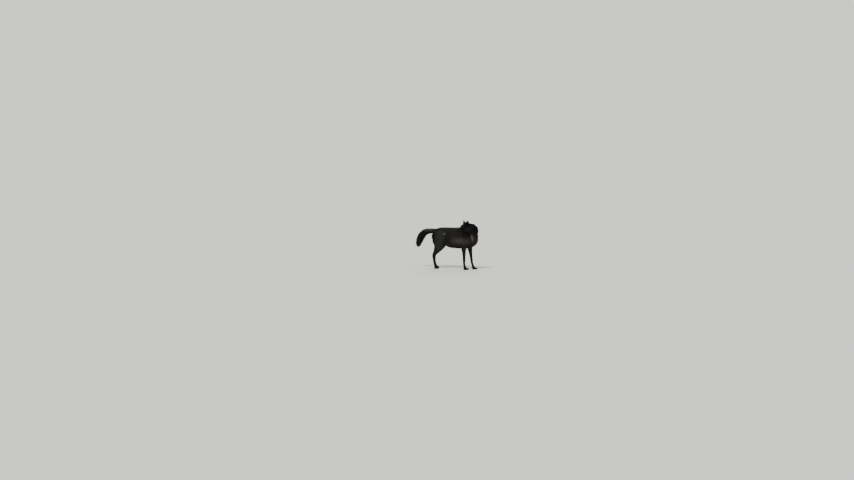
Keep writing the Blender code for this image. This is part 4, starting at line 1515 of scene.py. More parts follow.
@dataclass
class Mouth:
    """The closed mouth: both lips as dark soft rims with the line between them."""

    head: Head
    apart: float = 0.0017  # from the line to the middle of a lip
    thick: float = 0.0016
    steps: int = 26  # along each side
    bends: int = 8  # from each side to the front
    # Upper lip, lower lip and line: the way it lies, its share of the thickness, how far it stands out
    rims: tuple[Triple, ...] = ((1.0, 1.0, 0.0004), (-1.0, 1.0, 0.0001), (0.0, 0.6, -0.0007))

    def line(self, skin: BVHTree, above: float) -> tuple[list[Vector], list[Vector]]:
        """The mouth's line on the skin, in the modelling axes.

        Args:
            skin: The skin's surface.
            above: How far above the line the points lie.

        Returns:
            The points from the left corner round the muzzle to the right one, and the directions outward.
        """
        pose = self.head.pose()
        half: list[tuple[Vector, Vector]] = []
        for k in range(self.steps + 1):
            share = k / self.steps
            x = MOUTH_FROM + (MOUTH_TO - MOUTH_FROM) * share
            z = MOUTH_LOW + MOUTH_RISE * share ** 1.3 + above * min(1.0, share * 6)
            half.append((Vector((x, 0.1, z)), -Y_AXIS))
        front = Vector((MOUTH_TO, 0, half[-1][0].z))
        aim = Vector((MOUTH_TO - 0.004, 0, front.z))
        for k in range(1, self.bends + 1):
            angle = math.radians(90 - 90 * k / self.bends)
            around = front + Vector((math.cos(angle), math.sin(angle), 0)) * 0.06
            half.append((around, (aim - around).normalized()))
        points, normals = [], []
        for start, inward in half:
            hit, _, _, _ = skin.ray_cast(pose @ start, self.head.way(inward))
            if hit is not None:
                points.append(pose.inverted() @ hit)
                normals.append(-inward)
        mirror = Matrix.Diagonal((1, -1, 1))
        points += [mirror @ point for point in points[-2::-1]]
        normals += [mirror @ normal for normal in normals[-2::-1]]
        return [pose @ point for point in points], [self.head.way(normal) for normal in normals]

    def holds(self, skin: BVHTree) -> list[Hold]:
        """What keeps fur off the lips."""
        return [Hold(point, 0.0026, 0.003) for point in self.line(skin, 0.0)[0][::2]]

    def build(self, skin: BVHTree) -> Object:
        """Both lips and the dark line between them.

        Args:
            skin: The skin's surface.

        Returns:
            The lips.
        """
        parts = []
        for way, share, raised in self.rims:
            thick = self.thick * share
            points, normals = self.line(skin, self.apart * way)
            points = [point + normal * raised for point, normal in zip(points, normals)]
            last = len(points) - 1
            sections = []
            for i, (point, normal) in enumerate(zip(points, normals)):
                along = (points[min(i + 1, last)] - points[max(i - 1, 0)]).normalized()
                out = (normal - along * normal.dot(along)).normalized()
                end = thick * min(1.0, 5.0 * min(i, last - i) / last + 0.25)
                sections.append((point, out, along.cross(out), (end, end * 1.15, end * 1.15)))
            parts.append(tube(sections, 10))
        return joined(parts, "lips")


# The coat


@dataclass(frozen=True)
class Growth:
    """How the coat grows along one path: its lengths over, beside and under each station, and its way."""

    path: tuple[Station, ...]
    lengths: tuple[Station, ...]
    # Each at even steps from the path's start to its end
    wide: tuple[float, ...]
    density: tuple[float, ...]  # tufts for each square metre
    lift: tuple[float, ...]  # share of its length that a tip stands off
    flow: float  # 1 toward the path's end, -1 toward its start
    fall: float
    patches: tuple[tuple[int, Patch], ...]  # from which station on each patch runs
    side: Vector | None = None
    pose: Matrix | None = None

    def samples(self, fine: int = 3) -> list[dict[str, object]]:
        """The growth at places along the path.

        Args:
            fine: How many places to take from one station to the next.

        Returns:
            What grows at each place, under the names that the coat's field has for it.
        """
        stations, lengths = through(self.path, fine), through(self.lengths, fine)
        turn = self.pose.to_3x3() if self.pose else Matrix.Identity(3)
        graded = {"wide": self.wide, "density": self.density, "lift": self.lift}
        made = []
        for i, station in enumerate(stations):
            middle, _, up, along = section_frame(stations, i, self.side)
            way = turn @ (along * self.flow) - Z_AXIS * self.fall
            share = i / (len(stations) - 1)
            patch = [patch for first, patch in self.patches if i >= first * fine][-1]
            made.append({
                "at": tuple(self.pose @ middle if self.pose else middle),
                "flow": tuple(way.normalized()),
                "up": tuple(turn @ up),
                "radius": sum(station[3:6]) / 3,
                "long": lengths[i],
                "patch": PATCHES.index(patch),
                **{key: float(np.interp(share, np.linspace(0, 1, len(values)), values))
                   for key, values in graded.items()},
            })
        return made


def growths(head: Head) -> list[Growth]:
    """The coat's growth along the head, neck, trunk, tail and each leg.

    Args:
        head: The head.

    Returns:
        The growths.
    """
    made = [
        Growth(
            TRUNK,
            metres((64, 62, 62), (60, 58, 60), (47, 42, 64), (44, 37, 86), (44, 37, 86), (48, 38, 78),
                   (58, 41, 74), (66, 43, 70), (68, 48, 76), (64, 60, 82), (62, 64, 80)),
            (0.0043, 0.0043), (60000, 60000), (0.32, 0.29, 0.28, 0.31), -1.0, 0.24,
            ((0, Patch.RUMP), (3, Patch.BARREL), (6, Patch.SHOULDERS)),
        ),
        Growth(
            NECK,
            metres((70, 58, 62), (80, 66, 72), (86, 74, 80), (86, 76, 84), (70, 68, 74), (46, 54, 60)),
            (0.0046, 0.0038), (76000, 105000), (0.28, 0.34), -1.0, 0.35,
            ((0, Patch.NECK),),
        ),
        Growth(
            TAIL,
            metres((64, 60, 64), (70, 68, 74), (80, 82, 88), (88, 90, 94), (90, 92, 96), (86, 88, 90),
                   (74, 76, 76), (48, 48, 48)),
            (0.005, 0.0046), (105000, 190000), (0.4, 0.44, 0.4, 0.34), 1.0, 0.06,
            ((0, Patch.TAIL),),
        ),
        Growth(
            SKULL,
            metres((34, 60, 60), (26, 58, 56), (20, 52, 48), (16, 32, 32), (13, 18, 22), (11, 12, 16),
                   (9.5, 10, 13), (8, 9, 11), (6.5, 7, 9), (5, 5.5, 7)),
            (0.0032, 0.0012), (150000, 620000),
            (0.46, 0.5, 0.5, 0.36, 0.2, 0.12, 0.1, 0.09, 0.08, 0.08), -1.0, 0.2,
            ((0, Patch.CHEEKS), (3, Patch.FACE)),
            pose=head.pose(),
        ),
    ]
    for limb in LIMBS:
        if limb.stations is FORELEG:
            lengths = metres((48, 40, 40), (44, 34, 36), (36, 29, 38), (26, 24, 38), (20, 19, 26),
                             (17, 16, 19), (15, 14, 17), (15, 14, 16), (13, 13, 14), (10, 10, 11))
        else:
            lengths = metres((40, 38, 66), (36, 34, 74), (30, 28, 76), (22, 21, 56), (20, 19, 26),
                             (16, 15, 18), (15, 14, 16), (15, 14, 16), (13, 13, 14), (10, 10, 11))
        made.append(Growth(
            tuple(limb.placed()), lengths, (0.0042, 0.0019), (50000, 105000), (0.27, 0.21, 0.14), 1.0, 0.0,
            ((0, Patch[limb.name.upper()]),), side=Y_AXIS))
    return made


class Field:
    """The coat's growth anywhere on the skin, blended from the paths near it."""

    BATCH = 20000  # points at once
    NEAREST = 2.6  # how much the nearest places count for more

    def __init__(self, all_growths: Iterable[Growth]) -> None:
        """Gathers the growths' samples."""
        rows = [row for growth in all_growths for row in growth.samples()]
        self.rows = {key: np.array([row[key] for row in rows], dtype=np.float64) for key in rows[0]}

    def at(self, points: ndarray, normals: ndarray) -> dict[str, ndarray]:
        """The growth at points of the skin.

        Args:
            points: The points, one to a row.
            normals: The skin's normals there.

        Returns:
            The flow, length, width, density, lift and patch at each.
        """
        found: dict[str, list] = {key: [] for key in ("flow", "long", "wide", "density", "lift", "patch")}
        rows = self.rows
        for start in range(0, len(points), self.BATCH):
            place, out = points[start:start + self.BATCH], normals[start:start + self.BATCH]
            apart = np.linalg.norm(place[:, None] - rows["at"][None], axis=2) / rows["radius"][None]
            weight = np.exp(-self.NEAREST * (apart - apart.min(axis=1, keepdims=True)))
            weight /= weight.sum(axis=1, keepdims=True)
            facing = out @ rows["up"].T
            over, beside, under = (rows["long"][:, i][None] for i in range(3))
            above, below = beside + (over - beside) * facing, beside + (under - beside) * -facing
            long = np.where(facing > 0, above, below)
            found["long"].append((weight * long).sum(axis=1))
            for key in ("flow", "wide", "density", "lift"):
                found[key].append(weight @ rows[key])
            found["patch"].append(rows["patch"][apart.argmin(axis=1)])
        return {key: np.concatenate(values) for key, values in found.items()}


def unit(vectors: ndarray) -> ndarray:
    """Vectors scaled to length 1."""
    return vectors / np.maximum(np.linalg.norm(vectors, axis=1, keepdims=True), 1e-9)


def level(vectors: ndarray, normals: ndarray) -> ndarray:
    """Vectors laid flat against their normals, scaled to length 1."""
    return unit(vectors - normals * (vectors * normals).sum(axis=1, keepdims=True))


@dataclass
class Hold:
    """What keeps tufts off: a ball, and how far beyond it they stay short."""

    middle: Vector
    radius: float
    short: float


@dataclass
class Roots:
    """The tufts' roots on a surface, one to a row in each array."""

    at: ndarray
    normal: ndarray
    uv: ndarray
    grown: dict[str, ndarray]

    def pick(self, chosen: ndarray) -> Roots:
        """The roots that are chosen."""
        return Roots(self.at[chosen], self.normal[chosen], self.uv[chosen],
                     {key: values[chosen] for key, values in self.grown.items()})


class Surface:
    """A surface that fur grows on: its triangles, its unwrap and its tree."""

    def __init__(self, item: Object, rng: np.random.Generator) -> None:
        """Reads the surface.

        Args:
            item: The object, unwrapped.
            rng: The source of its chances.
        """
        mesh = item.data
        mesh.calc_loop_triangles()
        corners = values_of(mesh.loop_triangles, "vertices", 3, np.int32)
        loops = values_of(mesh.loop_triangles, "loops", 3, np.int32)
        unwrapped = mesh.uv_layers[BAKE_MAP].data
        self.points = values_of(mesh.vertices, "co", 3).astype(float)[corners]
        self.normals = values_of(mesh.vertices, "normal", 3).astype(float)[corners]
        self.uvs = values_of(unwrapped, "uv", 2).astype(float)[loops]
        self.middles = self.points.mean(axis=1)
        cross = np.cross(self.points[:, 1] - self.points[:, 0], self.points[:, 2] - self.points[:, 0])
        self.areas = np.linalg.norm(cross, axis=1) / 2
        self.faces = unit(cross)
        self.tree = surface_of(item)
        self.rng = rng

    def scatter(self, density: ndarray) -> tuple[ndarray, ndarray, ndarray]:
        """Places spread over the surface.

        Args:
            density: How many for each square metre of each triangle.

        Returns:
            The places, the normals and the unwrap's coordinates there.
        """
        shares = np.cumsum(self.areas * density)
        count = int(shares[-1])
        ticks = (np.arange(count) + self.rng.random(count)) / count * shares[-1]
        picked = np.searchsorted(shares, ticks).clip(0, len(shares) - 1)
        a, b = self.rng.random(count), self.rng.random(count)
        over = a + b > 1
        a[over], b[over] = 1 - a[over], 1 - b[over]
        parts = np.stack([1 - a - b, a, b], axis=1)[:, :, None]
        return ((self.points[picked] * parts).sum(axis=1), unit((self.normals[picked] * parts).sum(axis=1)),
                (self.uvs[picked] * parts).sum(axis=1))


@dataclass
class Tufts:
    """Makes thin tapered tufts of solid mesh that lie along a surface."""

    rng: np.random.Generator
    patch_size: float = 0.003  # of a tuft in the bake map
    sink: float = 0.002
    ridge: float = 0.3  # height of a tuft's ridge as a share of its width
    floor: float = 0.0006  # the lowest that a tuft reaches
    rise: float = 1.7  # the higher, the sooner a tuft stands off by its whole lift
    stiff: float = 0.4  # share of its outward direction that it keeps from one point to the next

    def walk(self, roots: Roots, tree: BVHTree, shares: Sequence[float]) -> tuple[list[ndarray], ...]:
        """Lays each tuft's middle line over the surface.

        Args:
            roots: The roots, with flow, long and lift.
            tree: The surface.
            shares: The shares of the length at which the line has a point, after its root.

        Returns:
            The points and the directions outward, one array for the root and one for each share.
        """
        long, lift = roots.grown["long"], roots.grown["lift"]
        flow = level(roots.grown["flow"], roots.normal)
        at, out, walked = roots.at, roots.normal, 0.0
        points, outs = [at - out * self.sink], [out]
        for share in shares:
            guess = at + flow * (long * (share - walked))[:, None]
            near, normal = np.empty_like(guess), np.empty_like(guess)
            find = tree.find_nearest
            for i, place in enumerate(guess.tolist()):
                hit = find(place)
                near[i], normal[i] = hit[:2]
            turned = (normal * out).sum(axis=1) < 0.1
            normal[turned] = out[turned]
            near[turned] = guess[turned]
            at, out, walked = near, unit(normal * (1 - self.stiff) + out * self.stiff), share
            flow = level(flow, out)
            height = lift * long * (1 - (1 - share) ** self.rise)
            points.append(at + out * height[:, None])
            outs.append(out)
        return points, outs

    def mesh(self, name: str, roots: Roots, tree: BVHTree, shares: Sequence[float],
             profile: Sequence[float]) -> Object:
        """The tufts of one piece.

        Args:
            name: The piece's name.
            roots: The roots.
            tree: The surface that they lie on.
            shares: The shares of the length at which a tuft has a section, the last of them its tip.
            profile: The share of its width at the root and at each section but the tip.

        Returns:
            The piece.
        """
        points, outs = self.walk(roots, tree, shares)
        wide = roots.grown["wide"]
        count, rings = len(wide), len(points) - 1
        corners = rings * 3 + 1
        verts = np.empty((count, corners, 3))
        along = np.empty((count, corners))
        for i in range(rings):
            ahead = unit(points[i + 1] - points[max(i - 1, 0)])
            side = unit(np.cross(ahead, outs[i]))
            half = (wide * profile[i] / 2)[:, None]
            verts[:, 3 * i] = points[i] + side * half
            verts[:, 3 * i + 1] = points[i] + np.cross(side, ahead) * half * 2 * self.ridge
            verts[:, 3 * i + 2] = points[i] - side * half
            along[:, 3 * i:3 * i + 3] = 0.0 if i == 0 else shares[i - 1]
        verts[:, -1] = points[-1]
        along[:, -1] = 1.0
        verts[:, :, 2] = np.maximum(verts[:, :, 2], self.floor)
        faces = [(2, 1, 0)]
        for i in range(rings - 1):
            for k in range(3):
                a, b = 3 * i + k, 3 * i + (k + 1) % 3
                faces += [(a, b, b + 3), (a, b + 3, a + 3)]
        last = 3 * (rings - 1)
        faces += [(last + k, last + (k + 1) % 3, corners - 1) for k in range(3)]
        every = (np.array(faces)[None] + (np.arange(count) * corners)[:, None, None]).reshape(-1, 3)
        made = self.object_from(name, verts.reshape(-1, 3), every)
        spots = [((j % 3 - 1) * 0.45, j // 3 / rings - 0.5) for j in range(corners - 1)]
        uv = roots.uv[:, None] + np.array([*spots, (0.0, 0.5)])[None] * self.patch_size
        layer = made.data.uv_layers.new(name=BAKE_MAP)
        uv = uv.clip(0.0, 1.0).reshape(-1, 2)
        layer.data.foreach_set("uv", uv[every.reshape(-1)].astype(np.float32).ravel())
        number_points(made.data, "along", along.ravel())
        number_points(made.data, "tuft", np.repeat(self.rng.random(count), corners))
        return made

    @staticmethod
    def object_from(name: str, verts: ndarray, faces: ndarray) -> Object:
        """An object of triangles from plain arrays.

        Args:
            name: The object's name.
            verts: The vertices, one to a row.
            faces: The numbers of each triangle's vertices.

        Returns:
            The object.
        """
        mesh = bpy.data.meshes.new(name)
        mesh.vertices.add(len(verts))
        mesh.vertices.foreach_set("co", verts.astype(np.float32).ravel())
        mesh.loops.add(3 * len(faces))
        mesh.polygons.add(len(faces))
        mesh.polygons.foreach_set("loop_start", np.arange(0, 3 * len(faces), 3, dtype=np.int32))
        mesh.polygons.foreach_set("vertices", faces.astype(np.int32).ravel())
        mesh.update(calc_edges=True)
        mesh.shade_smooth()
        return linked(name, mesh)


# A tuft's sections: the shares of its length where it has one, then of its width at the root and at each
SHORT = ((0.55, 1.0), (1.0, 0.85))
LONG = ((0.36, 0.72, 1.0), (0.9, 1.0, 0.62))
LONG_COATED = (Patch.CHEEKS, Patch.NECK, Patch.SHOULDERS, Patch.RUMP, Patch.TAIL)
BLACK_COATED = (Patch.FACE, Patch.CHEEKS, Patch.NECK, Patch.TAIL)


# A triangle is where forms end if it is this near their plane, this square to it and this near its point
END_NEAR, END_SQUARE, END_REACH = 4e-4, 0.995, 0.25


@dataclass
class Coat:
    """The fur: tufts over the whole skin, made in one piece for each patch of the body."""

    head: Head
    seed: int = 7
    quick_share: float = 0.25
    swirl: float = 0.2  # radians that tufts near each other turn together
    stray: float = 0.13  # radians that each turns by itself
    clump: float = 0.14  # share by which lengths differ together
    uneven: float = 0.22  # share by which each differs by itself
    widths: Pair = (0.75, 1.25)
    lifts: Pair = (0.55, 1.35)

    def vary(self, roots: Roots, rng: np.random.Generator) -> None:
        """Turns and resizes tufts a little, together in clumps and each by itself.

        Args:
            roots: The roots, which are changed.
            rng: The source of chances.
        """
        count = len(roots.at)
        grown = roots.grown
        x, y, z = roots.at.T
        together = (np.sin(41 * x + 17 * z + 3 * y) * np.sin(37 * y + 29 * z)
                    + 0.6 * np.sin(83 * x - 61 * z + 70 * y))
        turn = (self.swirl * together + rng.normal(0, self.stray, count))[:, None]
        flow = level(grown["flow"], roots.normal)
        grown["flow"] = flow * np.cos(turn) + np.cross(roots.normal, flow) * np.sin(turn)
        clump = 1 + self.clump * np.sin(67 * x + 23 * y) * np.sin(59 * z - 31 * x)
        grown["long"] = grown["long"] * clump * (1 + self.uneven * rng.uniform(-1, 1, count))
        grown["wide"] = grown["wide"] * rng.uniform(*self.widths, count)
        grown["lift"] = grown["lift"] * rng.uniform(*self.lifts, count)

    @staticmethod
    def clear(roots: Roots, holds: Sequence[Hold]) -> Roots:
        """Leaves out roots on bare places, and shortens tufts beside them.

        Args:
            roots: All roots.
            holds: The bare places.

        Returns:
            The roots that are left.
        """
        keep = np.ones(len(roots.at), dtype=bool)
        for hold in holds:
            apart = np.linalg.norm(roots.at - np.array(hold.middle), axis=1)
            keep &= apart > hold.radius
            roots.grown["long"] = roots.grown["long"] * ((apart - hold.radius) / hold.short).clip(0.25, 1.0)
        return roots.pick(keep)

    @staticmethod
    def hidden(surface: Surface, ends: Sequence[Plane]) -> ndarray:
        """Finds the triangles where forms of the skin end inside one another.

        Args:
            surface: The skin's surface.
            ends: The planes at which they end.

        Returns:
            Whether each triangle is one of them.
        """
        inside = np.zeros(len(surface.middles), dtype=bool)
        for at, direction in ends:
            off = np.abs((surface.middles - np.array(at)) @ np.array(direction)) < END_NEAR
            facing = np.abs(surface.faces @ np.array(direction)) > END_SQUARE
            near = np.linalg.norm(surface.middles - np.array(at), axis=1) < END_REACH
            inside |= off & facing & (near | (abs(direction.z) > 0.99))
        return inside

    def build(self, skin: Object, holds: Sequence[Hold], ends: Sequence[Plane], finish: Material) -> None:
        """Grows the coat on the skin.

        Args:
            skin: The skin, in the modelling axes.
            holds: The bare places.
            ends: The planes at which forms of the skin end inside one another.
            finish: The coat's material.
        """
        rng = np.random.default_rng(self.seed)
        surface, growth = Surface(skin, rng), Field(growths(self.head))
        density = growth.at(surface.middles, surface.faces)["density"]
        density[self.hidden(surface, ends)] = 0.0
        at, normal, uv = surface.scatter(density)
        roots = self.clear(Roots(at, normal, uv, growth.at(at, normal)), holds)
        self.vary(roots, rng)
        tufts = Tufts(rng)
        for number, patch in enumerate(PATCHES):
            chosen = roots.grown["patch"] == number
            if not chosen.any():
                continue
            shape = LONG if patch in LONG_COATED else SHORT
            piece = tufts.mesh(patch.value, roots.pick(chosen), surface.tree, *shape)
            hand_over(piece, "coat_black" if patch in BLACK_COATED else "coat_grey", finish)


@dataclass
class EarFur:
    """The fur of both ears: short outside and at the rim, longer inside."""

    seed: int = 11
    quick_share: float = 0.3
    density: Pair = (200000.0, 110000.0)  # outside and inside, for each square metre
    sparse: float = 0.35  # share of it inside, above the ear's middle
    wide: Pair = (0.002, 0.0013)
    lift: Pair = (0.13, 0.34)
    sink: float = 0.0008
    inner_long: Pair = (0.026, 0.015)  # inside: at the root, then how much less at the tip
    outer_long: Triple = (0.01, 0.004, 0.014)  # outside: the same, then how much more beside the head

    def roots(self, ear: Ear, surface: Surface) -> Roots:
        """The tufts' roots on one ear.

        Args:
            ear: The ear.
            surface: Its surface.

        Returns:
            The roots.
        """
        rng = surface.rng
        root, up, opens, _ = ear.axes()
        up, opens = (np.array(ear.head.way(axis)) for axis in (up, opens))
        root = np.array(ear.head.pose() @ root)
        height = (surface.middles - root) @ up / EAR_TALL
        inside = self.density[1] * (self.sparse + (1 - self.sparse) * (height < 0.6))
        density = np.where(surface.faces @ opens < 0.05, self.density[0], inside)
        density[height < -0.02] = 0.0
        at, normal, uv = surface.scatter(density)
        height = ((at - root) @ up / EAR_TALL).clip(0, 1)
        inner = (normal @ opens) > 0.05
        flow = up[None] + np.where(inner[:, None], opens[None] * 0.9, 0.0)
        flow = flow + (at - root - up * (height * EAR_TALL)[:, None]) * np.where(inner, 4.0, 1.0)[:, None]
        (inside, less), (outside, drop, more) = self.inner_long, self.outer_long
        long = np.where(inner, inside - less * height,
                        outside - drop * height + more * (1 - height) ** 4)
        count = len(at)
        return Roots(at, normal, uv, {
            "flow": unit(flow + rng.normal(0, 0.12, (count, 3))),
            "long": long * rng.uniform(0.75, 1.2, count),
            "wide": np.where(inner, self.wide[1], self.wide[0]) * rng.uniform(0.8, 1.2, count),
            "lift": np.where(inner, self.lift[1], self.lift[0]) * rng.uniform(0.6, 1.3, count),
        })

    def build(self, ears: Sequence[tuple[Ear, Object]], finish: Material) -> None:
        """Grows the fur on both ears.

        Args:
            ears: Each ear with its shell.
            finish: The coat's material.
        """
        for number, (ear, shell) in enumerate(ears):
            rng = np.random.default_rng(self.seed + number)
            surface = Surface(shell, rng)
            name = f"{Patch.EARS.value}_{ear.side.word}"
            piece = Tufts(rng, sink=self.sink).mesh(name, self.roots(ear, surface), surface.tree, *SHORT)
            hand_over(piece, "coat_black", finish)


@dataclass
class Whiskers:
    """The long stiff whiskers of the muzzle, set by a node tree on points of the skin."""

    head: Head
    long: float = 0.052
    thick: float = 0.00045
    tip: float = 0.00005
    droop: float = 4.5  # times the square of its length, how far a whisker's tip bends
    sizes: Pair = (0.6, 1.15)  # the least and the most of the length
    rows: int = 3
    columns: int = 5
    first: Triple = (0.232, 0.1, -0.006)  # where the first is looked for, in the head's frame
    next_column: float = 0.011  # how far back from one to the next
    next_row: Pair = (0.003, 0.0075)  # how far back and down
    seed: int = 5

    def points(self, skin: BVHTree) -> Object:
        """Sets a point at each whisker's root, with its way as a direction.

        Args:
            skin: The skin's surface.

        Returns:
            The points as an object.
        """
        places, ways = [], []
        x, y, z = self.first
        for side in Side:
            for row in range(self.rows):
                for column in range(self.columns):
                    back = self.next_column * column + self.next_row[0] * row
                    start = Vector((x - back, side.value * y, z - self.next_row[1] * row))
                    way = self.head.way((0, -side.value, 0))
                    hit, normal, _, _ = skin.ray_cast(self.head.pose() @ start, way)
                    if hit is not None:
                        places.append(tuple(hit))
                        ways.append((normal + self.head.way((-0.75, 0.0, -0.25 - 0.12 * row))).normalized())
        mesh = bpy.data.meshes.new("whiskers")
        mesh.from_pydata(places, [], [])
        way = mesh.attributes.new("way", "FLOAT_VECTOR", "POINT")
        way.data.foreach_set("vector", np.array(ways, dtype=np.float32).ravel())
        return linked("whiskers", mesh)

    def tree(self, finish: Material) -> tuple[NodeTree, dict[str, str]]:
        """The node tree that sets a whisker on each point.

        Args:
            finish: The whiskers' material.

        Returns:
            The tree, and the identifier of each of its inputs.
        """
        tree = bpy.data.node_groups.new("set_whiskers", "GeometryNodeTree")
        names = {}
        for name, kind in (("Geometry", "Geometry"), ("Length", "Float"), ("Radius", "Float")):
            socket = tree.interface.new_socket(name, in_out="INPUT", socket_type=f"NodeSocket{kind}")
            names[name] = socket.identifier
        tree.interface.new_socket("Geometry", in_out="OUTPUT", socket_type="NodeSocketGeometry")
        graph = Graph(tree)
        given = graph.add("NodeGroupInput").outputs
        cone = graph.add("GeometryNodeMeshCone", {
            "Vertices": 6, "Side Segments": 6, "Radius Top": self.tip,
            "Radius Bottom": given["Radius"], "Depth": given["Length"]})
        rise = graph.split(graph.add("GeometryNodeInputPosition").outputs[0])["Z"]
        droop = graph.math("MULTIPLY", graph.math("POWER", rise, 2.0), -self.droop)
        offset = graph.add("ShaderNodeCombineXYZ", {"X": droop}).outputs[0]
        bent = graph.add("GeometryNodeSetPosition", {"Geometry": cone.outputs["Mesh"], "Offset": offset})
        way = graph.add("GeometryNodeInputNamedAttribute", {"Name": "way"}, data_type="FLOAT_VECTOR")
        turn = graph.add("FunctionNodeAlignRotationToVector", {"Vector": way.outputs["Attribute"]}, axis="Z")
        least, most = self.sizes
        size = graph.add("FunctionNodeRandomValue", {2: least, 3: most, "Seed": self.seed}, data_type="FLOAT")
        onto = graph.add("GeometryNodeInstanceOnPoints", {
            "Points": given["Geometry"], "Instance": bent.outputs["Geometry"],
            "Rotation": turn.outputs["Rotation"], "Scale": size.outputs[1]})
        real = graph.add("GeometryNodeRealizeInstances", {"Geometry": onto.outputs["Instances"]})
        real = real.outputs["Geometry"]
        dress = graph.add("GeometryNodeSetMaterial", {"Geometry": real, "Material": finish})
        graph.add("NodeGroupOutput", {"Geometry": dress.outputs["Geometry"]})
        return tree, names

    def build(self, skin: BVHTree, finish: Material) -> Object:
        """The whiskers as a plain mesh.

        Args:
            skin: The skin's surface.
            finish: The whiskers' material.

        Returns:
            The whiskers.
        """
        made = self.points(skin)
        tree, names = self.tree(finish)
        grow = modify(made, "NODES", node_group=tree)
        grow[names["Length"]] = self.long
        grow[names["Radius"]] = self.thick
        apply_modifiers(made)
        bpy.data.node_groups.remove(tree)
        return made


# The studio


def toward(azimuth: float, elevation: float) -> Vector:
    """The direction to a place that is seen at the angles, in radians."""
    level_share = math.cos(elevation)
    return Vector((math.sin(azimuth) * level_share, -math.cos(azimuth) * level_share, math.sin(elevation)))


def aimed(name: str, data: ID, back: Vector) -> Object:
    """A new camera or lamp that faces against a direction.

    Args:
        name: Its name.
        data: The camera or lamp.
        back: The direction.

    Returns:
        Its object.
    """
    made = linked(name, data)
    made.rotation_mode = "QUATERNION"
    made.rotation_quaternion = (-back).to_track_quat("-Z", "Y")
    return made


@dataclass
class Studio:
    """The floor, the light and the camera at the photograph's angle and framing."""

    azimuth: float = math.radians(22)
    elevation: float = math.radians(6)
    lens: float = 200.0
    sensor: float = 36.0
    metres_to_pixel: float = 0.0188
    image: tuple[int, int] = (854, 480)
    ground_pixel: Pair = (456.8, 269.0)  # where the modelling origin falls in the image
    floor_half: float = 400.0
    sky: Pair = (0.3, 0.9)  # strength of the surround at the horizon and overhead
    backdrop: Rgb = (1.15, 1.135, 1.09)  # what the camera sees beyond the floor, the floor's own tone

    def camera(self) -> None:
        """Sets up the camera, which frames the animal as the photograph does."""
        back = toward(self.azimuth, self.elevation)
        right = Vector((math.cos(self.azimuth), math.sin(self.azimuth), 0.0))
        across = (self.image[0] / 2 - self.ground_pixel[0]) * self.metres_to_pixel
        above = (self.ground_pixel[1] - self.image[1] / 2) * self.metres_to_pixel
        distance = self.image[0] * self.metres_to_pixel * self.lens / self.sensor
        made = aimed("camera", bpy.data.cameras.new("camera"), back)
        made.location = ORIGIN + right * across + back.cross(right) * above + back * distance
        made.data.lens = self.lens
        made.data.sensor_width = self.sensor
        made.data.clip_start = 0.1
        made.data.clip_end = 1500.0
        bpy.context.scene.camera = made

    def floor(self, finish: PlainFinish) -> None:
        """Lays the plain pale floor.

        Args:
            finish: Its finish.
        """
        bm = bmesh.new()
        half = self.floor_half
        corners = ((-half, -half), (half, -half), (half, half), (-half, half))
        bm.faces.new([bm.verts.new((x, y, 0.0)) for x, y in corners])
        made = object_of(bm, "studio_floor")
        made.data.materials.append(finish.make())

    def sun(self, name: str, azimuth: float, elevation: float, strength: float, spread: float,
            color: Rgb) -> None:
        """Sets up a soft lamp far off.

        Args:
            name: Its name.
            azimuth: Degrees from the camera's side of the animal, turning to its right.
            elevation: Degrees above the floor.
            strength: Its strength.
            spread: The angle in degrees that it fills.
            color: Its colour.
        """
        lamp = bpy.data.lights.new(name, "SUN")
        lamp.energy = strength
        lamp.angle = math.radians(spread)
        lamp.color = color
        aimed(name, lamp, toward(self.azimuth + math.radians(azimuth), math.radians(elevation)))

    def light(self) -> None:
        """Sets up a soft key from high on the left, a weak back light and a surround, bright overhead."""
        self.sun("key", -28, 56, 2.4, 14, (1.0, 0.975, 0.94))
        self.sun("back", 165, 38, 0.7, 40, (0.96, 0.98, 1.0))
        world = bpy.data.worlds.new("surround")
        world.use_nodes = True
        graph = Graph(world.node_tree)
        lit = world.node_tree.nodes["Background"]
        graph.link((0.97, 0.985, 1.0, 1.0), lit.inputs[0])
        high = graph.split(graph.add("ShaderNodeTexCoord").outputs["Generated"])["Z"]
        graph.link(graph.add("ShaderNodeMapRange", (high, 0.0, 1.0, *self.sky)).outputs[0], lit.inputs[1])
        seen = graph.add("ShaderNodeBackground", ((*self.backdrop, 1.0),))
        path = graph.add("ShaderNodeLightPath").outputs["Is Camera Ray"]
        choose = graph.add("ShaderNodeMixShader", (path, lit.outputs[0], seen.outputs[0]))
        graph.link(choose.outputs[0], world.node_tree.nodes["World Output"].inputs[0])
        bpy.context.scene.world = world


def flesh_nodes(names: Iterable[str]) -> list[str]:
    """The CAD nodes that the skin and its coat stand for."""
    flesh = ("head", "neck", "torso", "tail", "foreleg", "hindleg")
    return [name for name in names if name.startswith(flesh)]


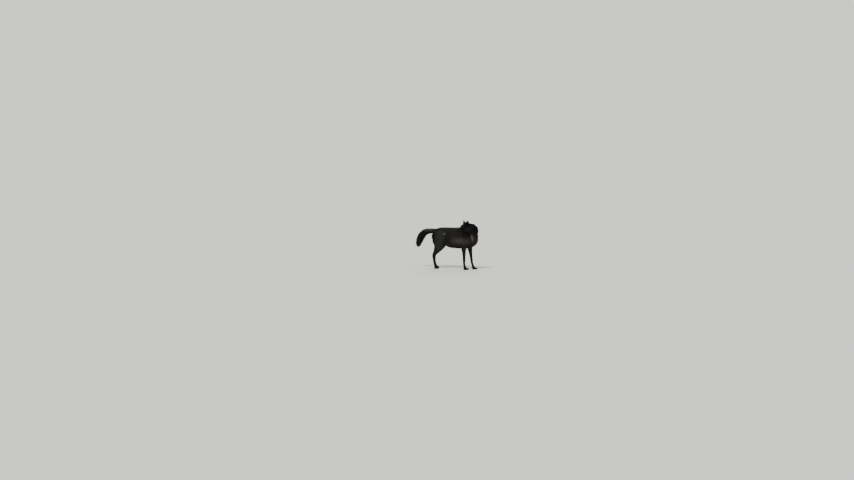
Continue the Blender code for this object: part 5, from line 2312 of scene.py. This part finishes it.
def main() -> None:
    """Builds the animal and its studio on the frame."""
    logging.basicConfig(level=logging.INFO, format="%(message)s")
    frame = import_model()
    studio = Studio()
    studio.camera()
    studio.floor(PlainFinish("floor_paper", (0.8, 0.79, 0.76)))
    studio.light()

    head = Head()
    skin_maker = Skin(head)
    skin = skin_maker.build()
    tree = surface_of(skin)
    markings = Markings()
    fur = CoatFinish("fur", markings).make()
    bare = LeatherFinish("bare_skin", (0.0036, 0.0031, 0.0031), 0.4, 900.0, 0.0003).make()

    nose, mouth = Nose(head), Mouth(head)
    eyes = [Eye(head, side) for side in Side]
    holds = [*nose.holds(), *(eye.hold() for eye in eyes), *mouth.holds(tree)]
    Coat(head).build(skin, holds, skin_maker.ends(), fur)

    ears = [Ear(head, side) for side in Side]
    shells = [ear.build() for ear in ears]
    EarFur().build(list(zip(ears, shells)), fur)
    inner_ear = LeatherFinish("ear_skin", (0.03, 0.022, 0.02), 0.65, 500.0, 0.0003).make()
    for ear, shell in zip(ears, shells):
        hand_over(shell, "coat_black", inner_ear, f"ear_{ear.side.word}")

    hand_over(mouth.build(tree), "nose_leather", bare)
    for eye in eyes:
        finish = EyeFinish(f"eye_{eye.side.word}_wet", eye.middle(), eye.looks()).make()
        hand_over(eye.ball(), "eye_amber", finish, f"eye_{eye.side.word}")
        hand_over(eye.lids(), "nose_leather", bare)
    leather = LeatherFinish("nose_leather", (0.0042, 0.0038, 0.0038), 0.3, 700.0, 0.0003, 0.28).make()
    hand_over(nose.build(), "nose_leather", leather, "nose")
    whisker = LeatherFinish("whisker", (0.01, 0.009, 0.008), 0.4, 400.0, 0.0001).make()
    hand_over(Whiskers(head).build(tree, whisker), "coat_black", whisker)

    pad_leather = LeatherFinish("pad_leather", (0.014, 0.012, 0.011), 0.55, 520.0, 0.0006)
    feet = Feet(HornFinish("claw_horn"), pad_leather)
    feet.claws()
    feet.pads()
    hand_over(skin, "coat_grey", SkinFinish("skin", markings).make(), *flesh_nodes(frame["nodes"]))


if __name__ == "__main__":
    main()
